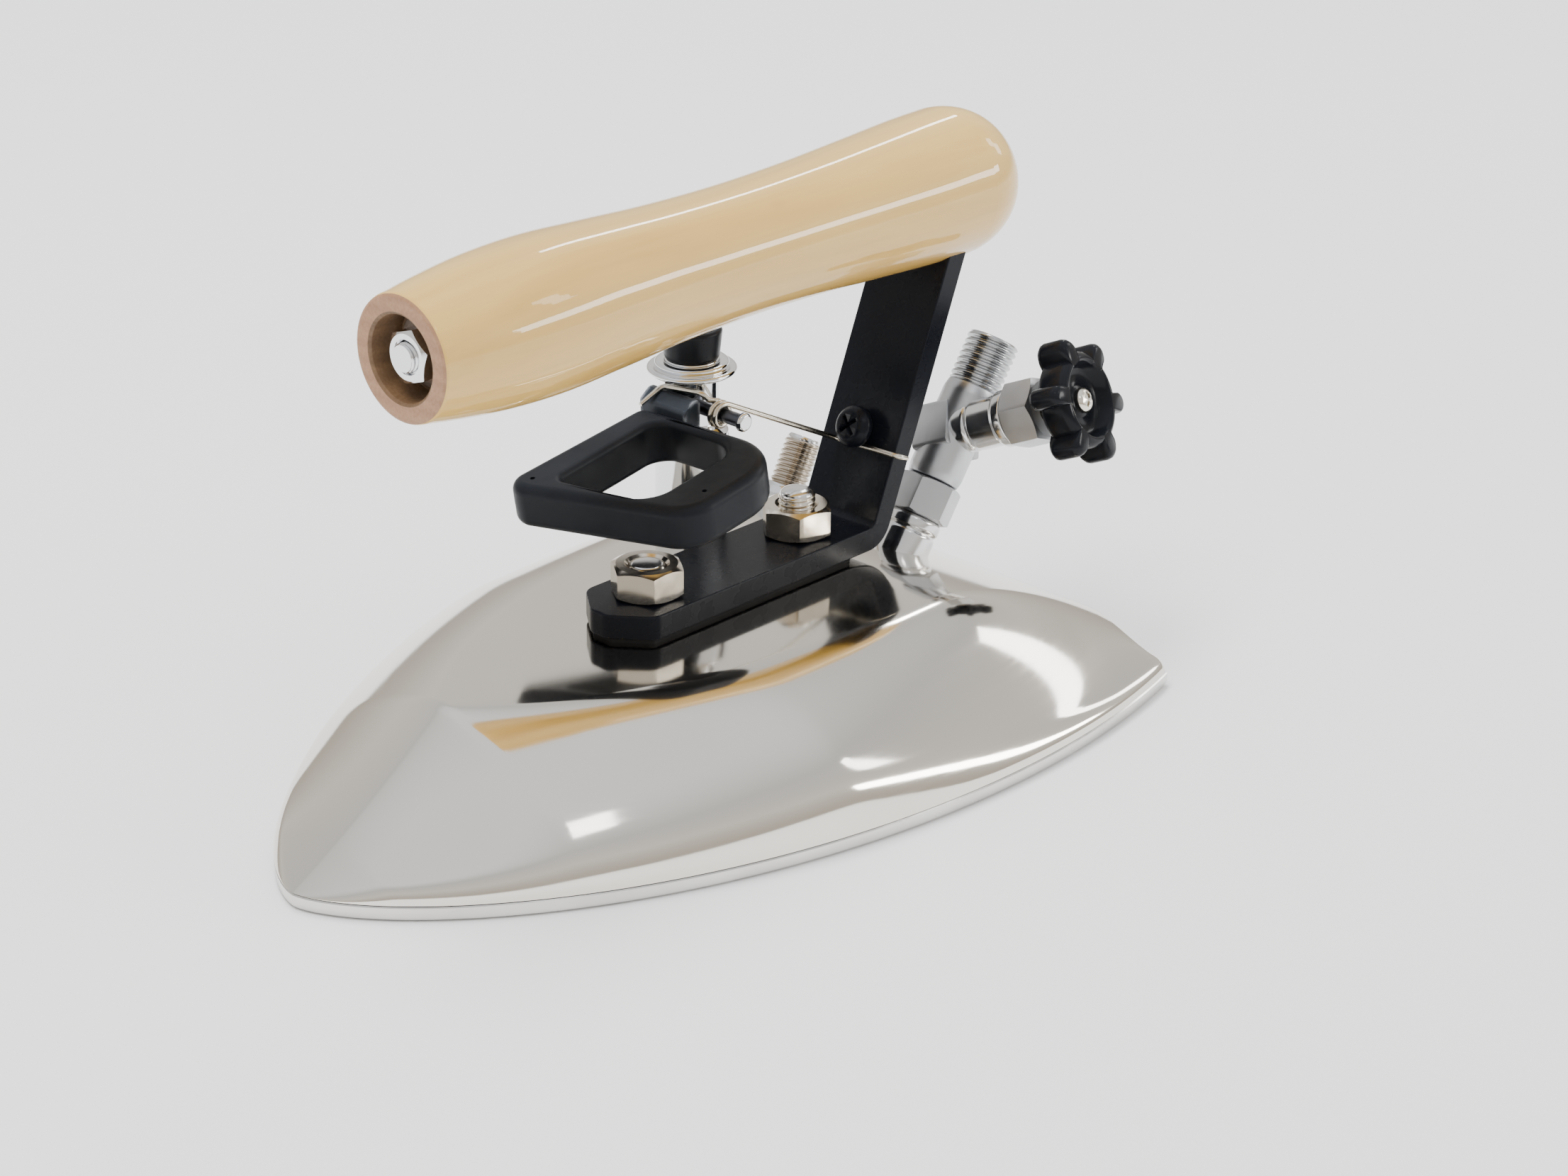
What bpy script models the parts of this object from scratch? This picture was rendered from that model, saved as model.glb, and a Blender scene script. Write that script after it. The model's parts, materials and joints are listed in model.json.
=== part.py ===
"""All-steam pressing iron: a boiler-fed iron with a stainless body, a lever-worked steam valve,
a regulating valve with a handwheel on the steam inlet, a drain nipple and a turned wooden handle.

Frame: +X from the toe to the heel, +Z up, the sole face on z = 0, the origin at mid length.
Every size is in millimetres; MM turns it into Blender's metres when a mesh is made.
"""

from math import acos, cos, exp, pi, radians, sin, sqrt, tan

import bmesh
import bpy
from mathutils import Matrix, Vector

MM = 0.001
GAP = 0.3                        # clearance kept between touching pieces

# Body: x runs from 0 at the toe to LENGTH at the heel
LENGTH = 199.0
HALF_WIDTH = 66.6
HEEL_HALF_WIDTH = 58.8
WIDEST_X = 142.0
TOE_POWER = 0.66                 # 0.5 would be an ellipse, larger is more pointed
SOLE_THICKNESS = 3.0
SOLE_CHAMFER = 0.8
RIM_Z = 3.3                      # lower edge of the shell
LIP = 1.5                        # upright band above that edge
TOP_Z = 30.0
PROW_X = 39.5                    # where the prow crease meets the flat top
HEEL_DROP_X = 147.0              # where the top starts to fall towards the heel
HEEL_DROP = 18.2
FLAT_HALF_WIDTH = 37.0           # the flat on top widens towards this
HOLLOW = 0.95                    # how far the flank turns concave at the heel
HOLLOW_FROM = 95.0
HOLLOW_LENGTH = 85.0
SHELL_WALL = 1.6
CHEST_INSET = 3.2
CHEST_WALL = 3.0
FLOOR_TOP_Z = 7.0
PLENUM_TOP_Z = 5.0
STEAM_HOLE_R = 1.5

# Handle bracket: a strip bent once
STRIP_HALF_WIDTH = 10.4
PLATE_BOTTOM_Z = 31.0
PLATE_TOP_Z = 36.3
PLATE_NOSE_X = 82.6
BEND_X = 155.4                   # where the upright's front face meets the plate's top plane
LEAN = radians(22.0)
UPRIGHT_TOP_Z = 111.0
FRONT_STUD_X = 96.8
REAR_STUD_X = 142.1
STUD_R = 4.0
NUT_FLATS = 14.0
NUT_HEIGHT = 6.7
SCREW_Z = 54.5                   # height of the spring's screw on the upright
SPRING_END_Z = 50.9              # height at which the spring's wire crosses the upright

# Handle
HANDLE_X = 32.0
HANDLE_Z = 104.8
HANDLE_LENGTH = 168.5
SWELL_END = 154.5                # from here to its end the grip is rounded off
SWELL_END_R = 16.4
END_FLAT_R = 7.0
END_WALL = 5.0                   # wood left beyond the blind end of the bore
ROD_R = 3.0
ROD_END_GAP = 2.8                # between the rod's tip and the blind end
COUNTERBORE_R = 8.7
COUNTERBORE_DEPTH = 8.0
ROD_NUT_FLATS = 10.0
UPRIGHT_BORE = (140.0, 171.0)    # stretch of the rod's line that is bored through the upright

# Steam valve tower and lever
TOWER = (131.3, 21.0)
TOWER_R = 8.0
NECK_R = 5.8
NECK_Z = 59.0
TOWER_TOP_Z = 73.8
STEM_R = 1.6
PIVOT = (127.6, 65.0)            # x and z of the lever's pin
PIN_R = 1.5
LOOP_SLOPE = 0.17
LOOP_THICKNESS = 10.0
DELIVERY_REACH = 14.7            # from the tower's axis to the delivery tube's down leg
DELIVERY_R = 2.6

# Ports: foot on the top, direction, and places measured along it
INLET_FOOT = Vector((173.5, -4.2, 26.5))
INLET_AXIS = Vector((0.578, 0.0, 0.816)).normalized()
DRAIN_FOOT = Vector((169.1, 29.9, 26.7))
DRAIN_AXIS = Vector((0.5, 0.0, 0.866)).normalized()
INLET_BOSS_R = 6.0
DRAIN_BOSS_R = 6.3
INLET_NUT_FLATS = 13.0
BONNET_NUT_FLATS = 13.6
JUNCTION = 26.0
WHEEL_AXIS = Vector((0.2096, -0.8934, 0.3981)).normalized()
WHEEL_R = 10.7
LOBE_R = 2.3
LOBE_REACH = 12.3                # from the wheel's axis to a lobe's centre
LOBE_TURN = radians(47.0)
LOBES = 6
WHEEL_SPAN = (26.5, 36.4)        # the handwheel's back and front along its axis

ROUND = 20                       # sides of a large turned piece
SMALL_ROUND = 12


# ---------------------------------------------------------------- scene and mesh helpers

def clear_scene():
    for item in list(bpy.data.objects):
        bpy.data.objects.remove(item, do_unlink=True)


def material(name, color, roughness, metallic):
    made = bpy.data.materials.new(name)
    made.use_nodes = True
    shader = made.node_tree.nodes["Principled BSDF"]
    shader.inputs["Base Color"].default_value = (*color, 1.0)
    shader.inputs["Roughness"].default_value = roughness
    shader.inputs["Metallic"].default_value = metallic
    return made


FINISHES = {
    "polished": ((0.78, 0.78, 0.77), 0.12, 1.0),
    "cast_grey": ((0.45, 0.45, 0.46), 0.55, 1.0),
    "nickel": ((0.70, 0.67, 0.62), 0.22, 1.0),
    "chrome": ((0.80, 0.81, 0.82), 0.08, 1.0),
    "cast_silver": ((0.62, 0.63, 0.64), 0.40, 1.0),
    "black_paint": ((0.02, 0.022, 0.025), 0.40, 0.0),
    "black_rubber": ((0.025, 0.026, 0.028), 0.55, 0.0),
    "black_gloss": ((0.015, 0.015, 0.017), 0.15, 0.0),
    "maple": ((0.80, 0.58, 0.31), 0.25, 0.0),
    "spring_wire": ((0.62, 0.58, 0.50), 0.30, 1.0),
    "packing": ((0.72, 0.70, 0.64), 0.60, 0.0),
    "brass": ((0.72, 0.52, 0.24), 0.25, 1.0),
}


def add_object(name, mesh_data, finish, origin=(0.0, 0.0, 0.0), smooth=True):
    """Turn a bmesh in millimetres, given in toe coordinates, into an object with its origin at origin."""
    shift = Vector(origin)
    bmesh.ops.remove_doubles(mesh_data, verts=mesh_data.verts, dist=0.0005)
    bmesh.ops.recalc_face_normals(mesh_data, faces=mesh_data.faces)
    for vertex in mesh_data.verts:
        vertex.co = (vertex.co - shift) * MM
    mesh = bpy.data.meshes.new(name)
    mesh_data.to_mesh(mesh)
    mesh_data.free()
    made = bpy.data.objects.new(name, mesh)
    bpy.context.scene.collection.objects.link(made)
    made.location = in_frame(shift)
    if smooth:
        mesh.shade_smooth()
        mesh.set_sharp_from_angle(angle=radians(35))
    if finish:
        mesh.materials.append(material(name, *FINISHES[finish]))
    return made


def in_frame(point):
    """Toe coordinates in millimetres to the part's frame in metres."""
    return Vector((point[0] - LENGTH / 2, point[1], point[2])) * MM


class Pivot:
    """An empty on a joint's axis; the moving pieces are its children."""

    def __init__(self, name, point):
        self.empty = bpy.data.objects.new(name, None)
        bpy.context.scene.collection.objects.link(self.empty)
        self.empty.location = in_frame(point)

    def hold(self, made):
        made.parent = self.empty
        made.location = made.location - self.empty.location
        return made


def cut(target, cutter_mesh, operation="DIFFERENCE"):
    """Add a Boolean with a hidden cutter given as a bmesh in millimetres and toe coordinates."""
    name = target.name + "_tool_" + str(len(target.modifiers))
    cutter = add_object(name, cutter_mesh, None, smooth=False)
    cutter.hide_render = True
    cutter.display_type = "WIRE"
    change = target.modifiers.new(name, "BOOLEAN")
    change.operation = operation
    change.solver = "EXACT"
    change.object = cutter
    return target


def join_shape(target, tool_mesh):
    return cut(target, tool_mesh, "UNION")


def frame_matrix(origin, axis, side=(0.0, 1.0, 0.0)):
    """A matrix that carries local +Z onto axis and local +X near side."""
    z_axis = Vector(axis).normalized()
    if abs(z_axis.dot(Vector(side))) > 0.99:
        side = (1.0, 0.0, 0.0)
    x_axis = (Vector(side) - z_axis * Vector(side).dot(z_axis)).normalized()
    y_axis = z_axis.cross(x_axis)
    turn = Matrix((x_axis, y_axis, z_axis)).transposed().to_4x4()
    return Matrix.Translation(Vector(origin)) @ turn


def turned(profile, segments=ROUND, closed=False, matrix=None):
    """Spin a profile of (radius, height) points about +Z; closed joins its last point to its first."""
    made = bmesh.new()
    rings = []
    for radius, height in profile:
        if radius < 1e-6:
            rings.append([made.verts.new((0.0, 0.0, height))])
            continue
        ring = []
        for step in range(segments):
            angle = 2 * pi * step / segments
            ring.append(made.verts.new((radius * cos(angle), radius * sin(angle), height)))
        rings.append(ring)
    pairs = list(zip(rings, rings[1:]))
    if closed:
        pairs.append((rings[-1], rings[0]))
    for low, high in pairs:
        if len(low) == len(high) == 1:
            continue
        for step in range(segments):
            after = (step + 1) % segments
            if len(low) == 1:
                made.faces.new((low[0], high[step], high[after]))
            elif len(high) == 1:
                made.faces.new((low[step], low[after], high[0]))
            else:
                made.faces.new((low[step], low[after], high[after], high[step]))
    if not closed:
        for ring in (rings[0], rings[-1]):
            if len(ring) > 1:
                made.faces.new(ring)
    if matrix:
        made.transform(matrix)
    bmesh.ops.recalc_face_normals(made, faces=made.faces)
    return made


def rod(radius, low, high, segments=SMALL_ROUND, matrix=None):
    return turned([(radius, low), (radius, high)], segments, matrix=matrix)


def ring(inner, outer, low, high, segments=ROUND, matrix=None):
    profile = [(inner, low), (outer, low), (outer, high), (inner, high)]
    return turned(profile, segments, closed=True, matrix=matrix)


def stacked(levels, holes=(), matrix=None):
    """Skin a stack of (outline, height) levels and close both ends; holes run straight through."""
    made = bmesh.new()
    stacks = [levels]
    for hole in holes:
        stacks.append([(hole, levels[0][1]), (hole, levels[-1][1])])
    end_edges = ([], [])
    for stack in stacks:
        loops = [[made.verts.new((x, y, height)) for x, y in outline] for outline, height in stack]
        count = len(loops[0])
        for low, high in zip(loops, loops[1:]):
            for index in range(count):
                after = (index + 1) % count
                made.faces.new((low[index], low[after], high[after], high[index]))
        for edges, loop in zip(end_edges, (loops[0], loops[-1])):
            for index in range(count):
                edges.append(made.edges.get((loop[index], loop[(index + 1) % count])))
    for edges in end_edges:
        bmesh.ops.triangle_fill(made, edges=edges, use_beauty=True, normal=(0, 0, 1))
    if matrix:
        made.transform(matrix)
    bmesh.ops.recalc_face_normals(made, faces=made.faces)
    return made


def prism(outline, low, high, holes=(), matrix=None):
    """Extrude a flat outline, with any holes in it, from low to high along +Z."""
    return stacked([(outline, low), (outline, high)], holes, matrix)


def box(low, high, matrix=None):
    outline = [(low[0], low[1]), (high[0], low[1]), (high[0], high[1]), (low[0], high[1])]
    return prism(outline, low[2], high[2], matrix=matrix)


def circle(radius, segments=SMALL_ROUND, centre=(0.0, 0.0)):
    angles = [2 * pi * step / segments for step in range(segments)]
    return [(centre[0] + radius * cos(a), centre[1] + radius * sin(a)) for a in angles]


def rounded(corners, steps=5):
    """An outline through corners of (x, y, radius), each corner replaced by an arc."""
    outline = []
    count = len(corners)
    for index, (x, y, radius) in enumerate(corners):
        here = Vector((x, y))
        before = (Vector(corners[index - 1][:2]) - here).normalized()
        after = (Vector(corners[(index + 1) % count][:2]) - here).normalized()
        if radius == 0:
            outline.append((x, y))
            continue
        half = acos(max(-1.0, min(1.0, before.dot(after)))) / 2
        reach = radius / tan(half)
        centre = here + (before + after).normalized() * (radius / sin(half))
        start = here + before * reach - centre
        end = here + after * reach - centre
        for step in range(steps + 1):
            mixed = start.lerp(end, step / steps).normalized() * radius
            outline.append(tuple(centre + mixed))
    return outline


def hexagon(flats, turn=0.0):
    radius = flats / sqrt(3)
    return [(radius * cos(turn + k * pi / 3), radius * sin(turn + k * pi / 3)) for k in range(6)]


def hex_nut(flats, height, bore, turn=0.0, matrix=None):
    return prism(hexagon(flats, turn), 0.0, height, [circle(bore)], matrix)


def swept(points, radius, segments=8, bore=None):
    """A round wire or pipe along a polyline."""
    made = bmesh.new()
    path = [Vector(point) for point in points]
    side = Vector((0.13, 0.97, 0.21))
    loops = []
    for index, point in enumerate(path):
        ahead = path[min(index + 1, len(path) - 1)] - path[max(index - 1, 0)]
        ahead.normalize()
        side = (side - ahead * side.dot(ahead)).normalized()
        other = ahead.cross(side)
        loops.append([])
        for size in ([radius, bore] if bore else [radius]):
            loop = []
            for step in range(segments):
                angle = 2 * pi * step / segments
                loop.append(made.verts.new(point + side * size * cos(angle) + other * size * sin(angle)))
            loops[-1].append(loop)
    for before, after in zip(loops, loops[1:]):
        for low, high in zip(before, after):
            for step in range(segments):
                following = (step + 1) % segments
                made.faces.new((low[step], low[following], high[following], high[step]))
    for end in (loops[0], loops[-1]):
        if bore:
            for step in range(segments):
                following = (step + 1) % segments
                made.faces.new((end[0][step], end[0][following], end[1][following], end[1][step]))
        else:
            made.faces.new(end[0])
    bmesh.ops.recalc_face_normals(made, faces=made.faces)
    return made


def softened(points, radius=1.5, steps=3):
    """A polyline whose inner corners are rounded."""
    path = [Vector(point) for point in points]
    result = [path[0]]
    for before, here, after in zip(path, path[1:], path[2:]):
        start = here + (before - here).normalized() * radius
        end = here + (after - here).normalized() * radius
        for step in range(steps + 1):
            share = step / steps
            result.append(start.lerp(here, share).lerp(here.lerp(end, share), share))
    result.append(path[-1])
    return result


# ---------------------------------------------------------------- body form

def half_width(x):
    if x < WIDEST_X:
        return HALF_WIDTH * (1 - ((WIDEST_X - x) / WIDEST_X) ** 2) ** TOE_POWER
    reach = (LENGTH - WIDEST_X) / sqrt(1 - (HEEL_HALF_WIDTH / HALF_WIDTH) ** 2)
    return HALF_WIDTH * sqrt(1 - ((x - WIDEST_X) / reach) ** 2)


def flat_half_width(x):
    """Half width of the flat on top; it is a crease along the prow."""
    if x <= PROW_X:
        return 0.0
    return FLAT_HALF_WIDTH * (1 - exp(-((x - PROW_X) / FLAT_HALF_WIDTH) ** 0.95))


def crown(x):
    """Height of the top along the centre line."""
    if x < PROW_X:
        share = x / PROW_X
        return RIM_Z + (TOP_Z - RIM_Z) * (0.8 * share + 0.2 * share ** 2)
    fall = max(x - HEEL_DROP_X, 0.0) / (LENGTH - HEEL_DROP_X)
    return TOP_Z - HEEL_DROP * fall ** 1.6


def flank(x, share):
    """Point of the flank: share 0 on the flat's edge, 1 on the lip."""
    angle = share * pi / 2
    power = 1.26 + 0.46 * min(x / 90.0, 1.0)
    hollow = HOLLOW * min(max((x - HOLLOW_FROM) / HOLLOW_LENGTH, 0.0), 1.0)
    out = (1 - hollow) * sin(angle) ** (2 / power) + hollow * share
    up = (1 - hollow) * max(cos(angle), 0.0) ** (2 / power) + hollow * cos(angle) ** 2
    low = RIM_Z + min(LIP, max(crown(x) - RIM_Z, 0.0))
    flat = flat_half_width(x)
    return flat + (half_width(x) - flat) * out, low + (crown(x) - low) * up


def body_rows(stations, flank_steps):
    """Rows of surface points from the near rim over the top to the far rim."""
    rows = []
    for x in stations:
        side = [(0.0, crown(x)), (flat_half_width(x) * 0.55, crown(x))]
        side += [flank(x, step / flank_steps) for step in range(flank_steps + 1)]
        side.append((half_width(x), RIM_Z))
        near = [(x, -y, z) for y, z in reversed(side)]
        far = [(x, y, z) for y, z in side[1:]]
        rows.append(near + far)
    rows.append([(x, y, RIM_Z) for x, y, z in rows[-1]])
    return rows


def body_stations(count):
    """Places along the body, closer together towards the toe."""
    return [LENGTH * (step / count) ** 1.35 for step in range(count + 1)]


def nested(rows, inset, top_inset):
    """The same surface drawn in by inset all round and lowered by top_inset."""
    middle = LENGTH / 2
    along = (middle - inset) / middle
    across = (HALF_WIDTH - inset) / HALF_WIDTH
    upward = (TOP_Z - top_inset - RIM_Z) / (TOP_Z - RIM_Z)
    moved = []
    for row in rows:
        moved.append([(middle + (x - middle) * along, y * across, RIM_Z + (z - RIM_Z) * upward)
                      for x, y, z in row])
    return moved


def surface(made, rows):
    grid = [[made.verts.new(point) for point in row] for row in rows]
    for low, high in zip(grid, grid[1:]):
        for index in range(len(low) - 1):
            made.faces.new((low[index], low[index + 1], high[index + 1], high[index]))
    near = [row[0] for row in grid]
    far = [row[-1] for row in grid]
    return near[:-1] + grid[-1] + far[-2::-1]


def dome(inset, top_inset, stations=12, flank_steps=5):
    """A solid with the body's form, flat underneath on the rim's plane."""
    made = bmesh.new()
    rows = nested(body_rows(body_stations(stations), flank_steps), inset, top_inset)
    rim = surface(made, rows)
    made.faces.new(rim)
    bmesh.ops.remove_doubles(made, verts=made.verts, dist=0.001)
    bmesh.ops.dissolve_degenerate(made, dist=0.0005, edges=made.edges[:])
    bmesh.ops.recalc_face_normals(made, faces=made.faces)
    return made


def sliced(made, height, keep_above):
    """Cut a closed mesh level at height and close the cut."""
    bmesh.ops.bisect_plane(made, geom=made.verts[:] + made.edges[:] + made.faces[:],
                           plane_co=(0, 0, height), plane_no=(0, 0, 1),
                           clear_inner=keep_above, clear_outer=not keep_above)
    border = [edge for edge in made.edges if edge.is_boundary]
    bmesh.ops.triangle_fill(made, edges=border, use_beauty=True, normal=(0, 0, 1))
    bmesh.ops.recalc_face_normals(made, faces=made.faces)
    return made


def plan_outline(inset, count=24):
    """The sole's outline, from the toe along the near side, across the heel and back."""
    near = []
    for step in range(1, count + 1):
        x = LENGTH * (step / count) ** 1.5
        near.append((x, -half_width(x)))
    far = [(x, -y) for x, y in reversed(near)]
    whole = [(0.0, 0.0)] + near + far
    middle = LENGTH / 2
    along = (middle - inset) / middle
    across = (HALF_WIDTH - inset) / HALF_WIDTH
    return [(middle + (x - middle) * along, y * across) for x, y in whole]


def build_sole_plate():
    """A plate drilled with the steam holes, its lower edge chamfered all round."""
    holes = [circle(STEAM_HOLE_R, 6, place) for place in steam_hole_places()]
    levels = [(plan_outline(SOLE_CHAMFER), 0.0), (plan_outline(0.0), SOLE_CHAMFER),
              (plan_outline(0.0), SOLE_THICKNESS)]
    return add_object("sole_plate", stacked(levels, holes), "polished")


def steam_hole_places():
    """Two rows that follow the outline and a short middle row behind the toe."""
    places = []
    for x in (40.0, 60.0, 80.0, 100.0, 120.0, 140.0):
        for side in (-1, 1):
            places.append((x, side * half_width(x) * 0.62))
            places.append((x + 10.0, side * half_width(x + 10.0) * 0.28))
    return places


def build_body_shell():
    made = bmesh.new()
    rows = body_rows(body_stations(16), 6)
    outer = surface(made, rows)
    inner = surface(made, nested(rows, SHELL_WALL, SHELL_WALL))
    count = len(outer)
    for index in range(count):
        after = (index + 1) % count
        made.faces.new((outer[index], outer[after], inner[after], inner[index]))
    bmesh.ops.remove_doubles(made, verts=made.verts, dist=0.001)
    bmesh.ops.dissolve_degenerate(made, dist=0.0005, edges=made.edges[:])
    shell = add_object("body_shell", made, "polished")
    cut_openings(shell, low=15.0)
    return shell


def cut_openings(target, low):
    """Holes for the two studs, the valve tower and the two port bosses."""
    for x in (FRONT_STUD_X, REAR_STUD_X):
        cut(target, rod(STUD_R + GAP, low, 40.0, matrix=Matrix.Translation((x, 0.0, 0.0))))
    place = Matrix.Translation((*TOWER, 0.0))
    cut(target, rod(TOWER_R + GAP, low - 12.0, 40.0, ROUND, place))
    for foot, axis, radius in ((INLET_FOOT, INLET_AXIS, INLET_BOSS_R),
                               (DRAIN_FOOT, DRAIN_AXIS, DRAIN_BOSS_R)):
        cut(target, rod(radius + GAP, -9.0, 14.0, ROUND, frame_matrix(foot, axis)))


def build_chest_floor():
    slab = sliced(dome(CHEST_INSET, CHEST_INSET), FLOOR_TOP_Z, keep_above=False)
    floor = add_object("chest_floor", slab, "cast_grey", smooth=False)
    cut(floor, sliced_plenum())
    tube_x = TOWER[0] + DELIVERY_REACH
    cut(floor, rod(DELIVERY_R + GAP, 0.0, 12.0, matrix=Matrix.Translation((tube_x, TOWER[1], 0.0))))
    return floor


def sliced_plenum():
    """The shallow space between the floor and the sole plate that spreads the steam."""
    return prism(plan_outline(CHEST_INSET + 6.0), RIM_Z - 2.0, PLENUM_TOP_Z)


def build_steam_chest():
    block = sliced(dome(CHEST_INSET, SHELL_WALL + 0.8), FLOOR_TOP_Z + GAP, keep_above=True)
    chest = add_object("steam_chest", block, "cast_grey", smooth=False)
    hollow = dome(CHEST_INSET + CHEST_WALL, SHELL_WALL + 0.8 + CHEST_WALL)
    hollow.transform(Matrix.Translation((0.0, 0.0, -0.5)))
    cut(chest, hollow)
    for x in (FRONT_STUD_X, REAR_STUD_X):
        join_shape(chest, rod(STUD_R + 3.5, 12.0, 25.5, matrix=Matrix.Translation((x, 0.0, 0.0))))
    cut_openings(chest, low=9.0)
    return chest


# ---------------------------------------------------------------- bracket, studs and nuts

def lean_point(along, out):
    """Point of the upright: along its front face from the plate, and out from that face."""
    x = BEND_X + along * sin(LEAN) - out * cos(LEAN)
    z = PLATE_TOP_Z + along * cos(LEAN) + out * sin(LEAN)
    return x, z


def build_handle_bracket():
    thickness = PLATE_TOP_Z - PLATE_BOTTOM_Z
    length = (UPRIGHT_TOP_Z - PLATE_TOP_Z) / cos(LEAN)
    rear_x = BEND_X + thickness * tan(radians(45) - LEAN / 2)
    corners = [(PLATE_NOSE_X, PLATE_BOTTOM_Z, 0.0), (rear_x, PLATE_BOTTOM_Z, 7.0)]
    corners.append((*lean_point(length, -thickness), 0.0))
    corners.append((*lean_point(length, 0.0), 0.0))
    corners += [(BEND_X, PLATE_TOP_Z, 2.0), (PLATE_NOSE_X, PLATE_TOP_Z, 0.0)]
    upright = Matrix(((1, 0, 0, 0), (0, 0, -1, 0), (0, 1, 0, 0), (0, 0, 0, 1)))
    strip = prism(rounded(corners, 6), -STRIP_HALF_WIDTH, STRIP_HALF_WIDTH, matrix=upright)
    bracket = add_object("handle_bracket", strip, "black_paint")
    for side in (-1, 1):
        corner = [(PLATE_NOSE_X - 2, side * 2.2), (PLATE_NOSE_X, side * 2.2),
                  (PLATE_NOSE_X + 6.4, side * STRIP_HALF_WIDTH),
                  (PLATE_NOSE_X + 6.4, side * (STRIP_HALF_WIDTH + 3)),
                  (PLATE_NOSE_X - 2, side * (STRIP_HALF_WIDTH + 3))]
        cut(bracket, prism(corner, PLATE_BOTTOM_Z - 2, PLATE_TOP_Z + 2))
    for x in (FRONT_STUD_X, REAR_STUD_X):
        cut(bracket, rod(STUD_R + GAP, 28.0, 40.0, matrix=Matrix.Translation((x, 0.0, 0.0))))
    cut(bracket, rod(2.8, -9.0, 4.0, matrix=screw_matrix()))
    along_x = frame_matrix((HANDLE_X, 0.0, HANDLE_Z), (1, 0, 0))
    cut(bracket, rod(ROD_R + GAP, *UPRIGHT_BORE, matrix=along_x))
    return bracket


def build_bracket_gasket():
    front = PLATE_NOSE_X + 1.2
    half = STRIP_HALF_WIDTH - 0.8
    corners = [(front, -2.6), (front + 5.6, -half), (BEND_X - 6.0, -half),
               (BEND_X - 6.0, half), (front + 5.6, half), (front, 2.6)]
    holes = [circle(STUD_R + GAP, centre=(x, 0.0)) for x in (FRONT_STUD_X, REAR_STUD_X)]
    return add_object("bracket_gasket", prism(corners, TOP_Z + 0.2, PLATE_BOTTOM_Z - 0.2, holes),
                      "black_rubber", smooth=False)


def build_studs_and_nuts():
    nut_z = PLATE_TOP_Z + 0.2
    front_tip = nut_z + NUT_HEIGHT - 1.0
    rear_tip = nut_z + NUT_HEIGHT + 2.8
    for name, x, tip, turn in (("front", FRONT_STUD_X, front_tip, -34.0),
                               ("rear", REAR_STUD_X, rear_tip, -42.0)):
        place = Matrix.Translation((x, 0.0, 0.0))
        profile = [(STUD_R - 0.6, 14.0), (STUD_R, 14.6), (STUD_R, tip - 0.9), (STUD_R - 0.9, tip)]
        stud = turned(profile, SMALL_ROUND, matrix=place)
        add_object(name + "_stud", stud, "nickel", origin=(x, 0.0, nut_z))
        seat = Matrix.Translation((x, 0.0, nut_z))
        nut = hex_nut(NUT_FLATS, NUT_HEIGHT, STUD_R + GAP, radians(turn), seat)
        add_object(name + "_nut", nut, "nickel", origin=(x, 0.0, nut_z))


def screw_matrix():
    """Frame of the spring's screw: origin on the upright's front face, +Z out of it."""
    along = (SCREW_Z - PLATE_TOP_Z) / cos(LEAN)
    x, z = lean_point(along, 0.0)
    return frame_matrix((x, 0.0, z), (-cos(LEAN), 0.0, sin(LEAN)))


def build_spring_screw():
    profile = [(2.1, -6.6), (2.5, -6.2), (2.5, 2.3), (4.5, 2.3), (4.5, 4.0), (3.4, 5.1), (0.0, 5.3)]
    screw = turned([(0.0, -6.6)] + profile, SMALL_ROUND, matrix=screw_matrix())
    made = add_object("spring_screw", screw, "black_paint")
    for turn in (0.0, pi / 2):
        recess = Matrix.Rotation(turn + pi / 4, 4, "Z")
        cut(made, box((-2.2, -0.45, 3.6), (2.2, 0.45, 7.0), screw_matrix() @ recess))
    return made


# ---------------------------------------------------------------- handle

def handle_profile():
    """Radius of the grip by distance from its front face."""
    swell = [(0.0, 12.4), (1.2, 13.0), (10.0, 14.4), (22.0, 15.7), (36.0, 16.1), (52.0, 15.3),
             (70.0, 14.3), (90.0, 13.9), (110.0, 14.3), (128.0, 15.2), (144.0, 16.1),
             (SWELL_END, SWELL_END_R)]
    along = HANDLE_LENGTH - SWELL_END
    across = SWELL_END_R - END_FLAT_R
    for step in range(1, 6):
        angle = step / 5 * pi / 2
        swell.append((SWELL_END + along * sin(angle), END_FLAT_R + across * cos(angle)))
    return swell


def build_handle():
    along_x = frame_matrix((HANDLE_X, 0.0, HANDLE_Z), (1, 0, 0))
    bore_end = HANDLE_LENGTH - END_WALL
    profile = [(radius, s) for s, radius in handle_profile()]
    profile += [(0.0, HANDLE_LENGTH), (0.0, bore_end), (ROD_R + GAP, bore_end)]
    profile += [(ROD_R + GAP, COUNTERBORE_DEPTH), (COUNTERBORE_R, COUNTERBORE_DEPTH), (COUNTERBORE_R, 0.0)]
    solid = turned(profile, ROUND, closed=True, matrix=along_x)
    handle = add_object("wooden_handle", solid, "maple", origin=(HANDLE_X, 0.0, HANDLE_Z))
    thickness = PLATE_TOP_Z - PLATE_BOTTOM_Z
    face = Matrix(((cos(LEAN), 0, sin(LEAN), BEND_X), (0, 1, 0, 0),
                   (-sin(LEAN), 0, cos(LEAN), PLATE_TOP_Z), (0, 0, 0, 1)))
    length = (UPRIGHT_TOP_Z - PLATE_TOP_Z) / cos(LEAN)
    below = (HANDLE_Z - 2 * SWELL_END_R - PLATE_TOP_Z) / cos(LEAN)
    half = STRIP_HALF_WIDTH + GAP
    cut(handle, box((-GAP, -half, below), (thickness + GAP, half, length + 1.0), face))
    return handle


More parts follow.
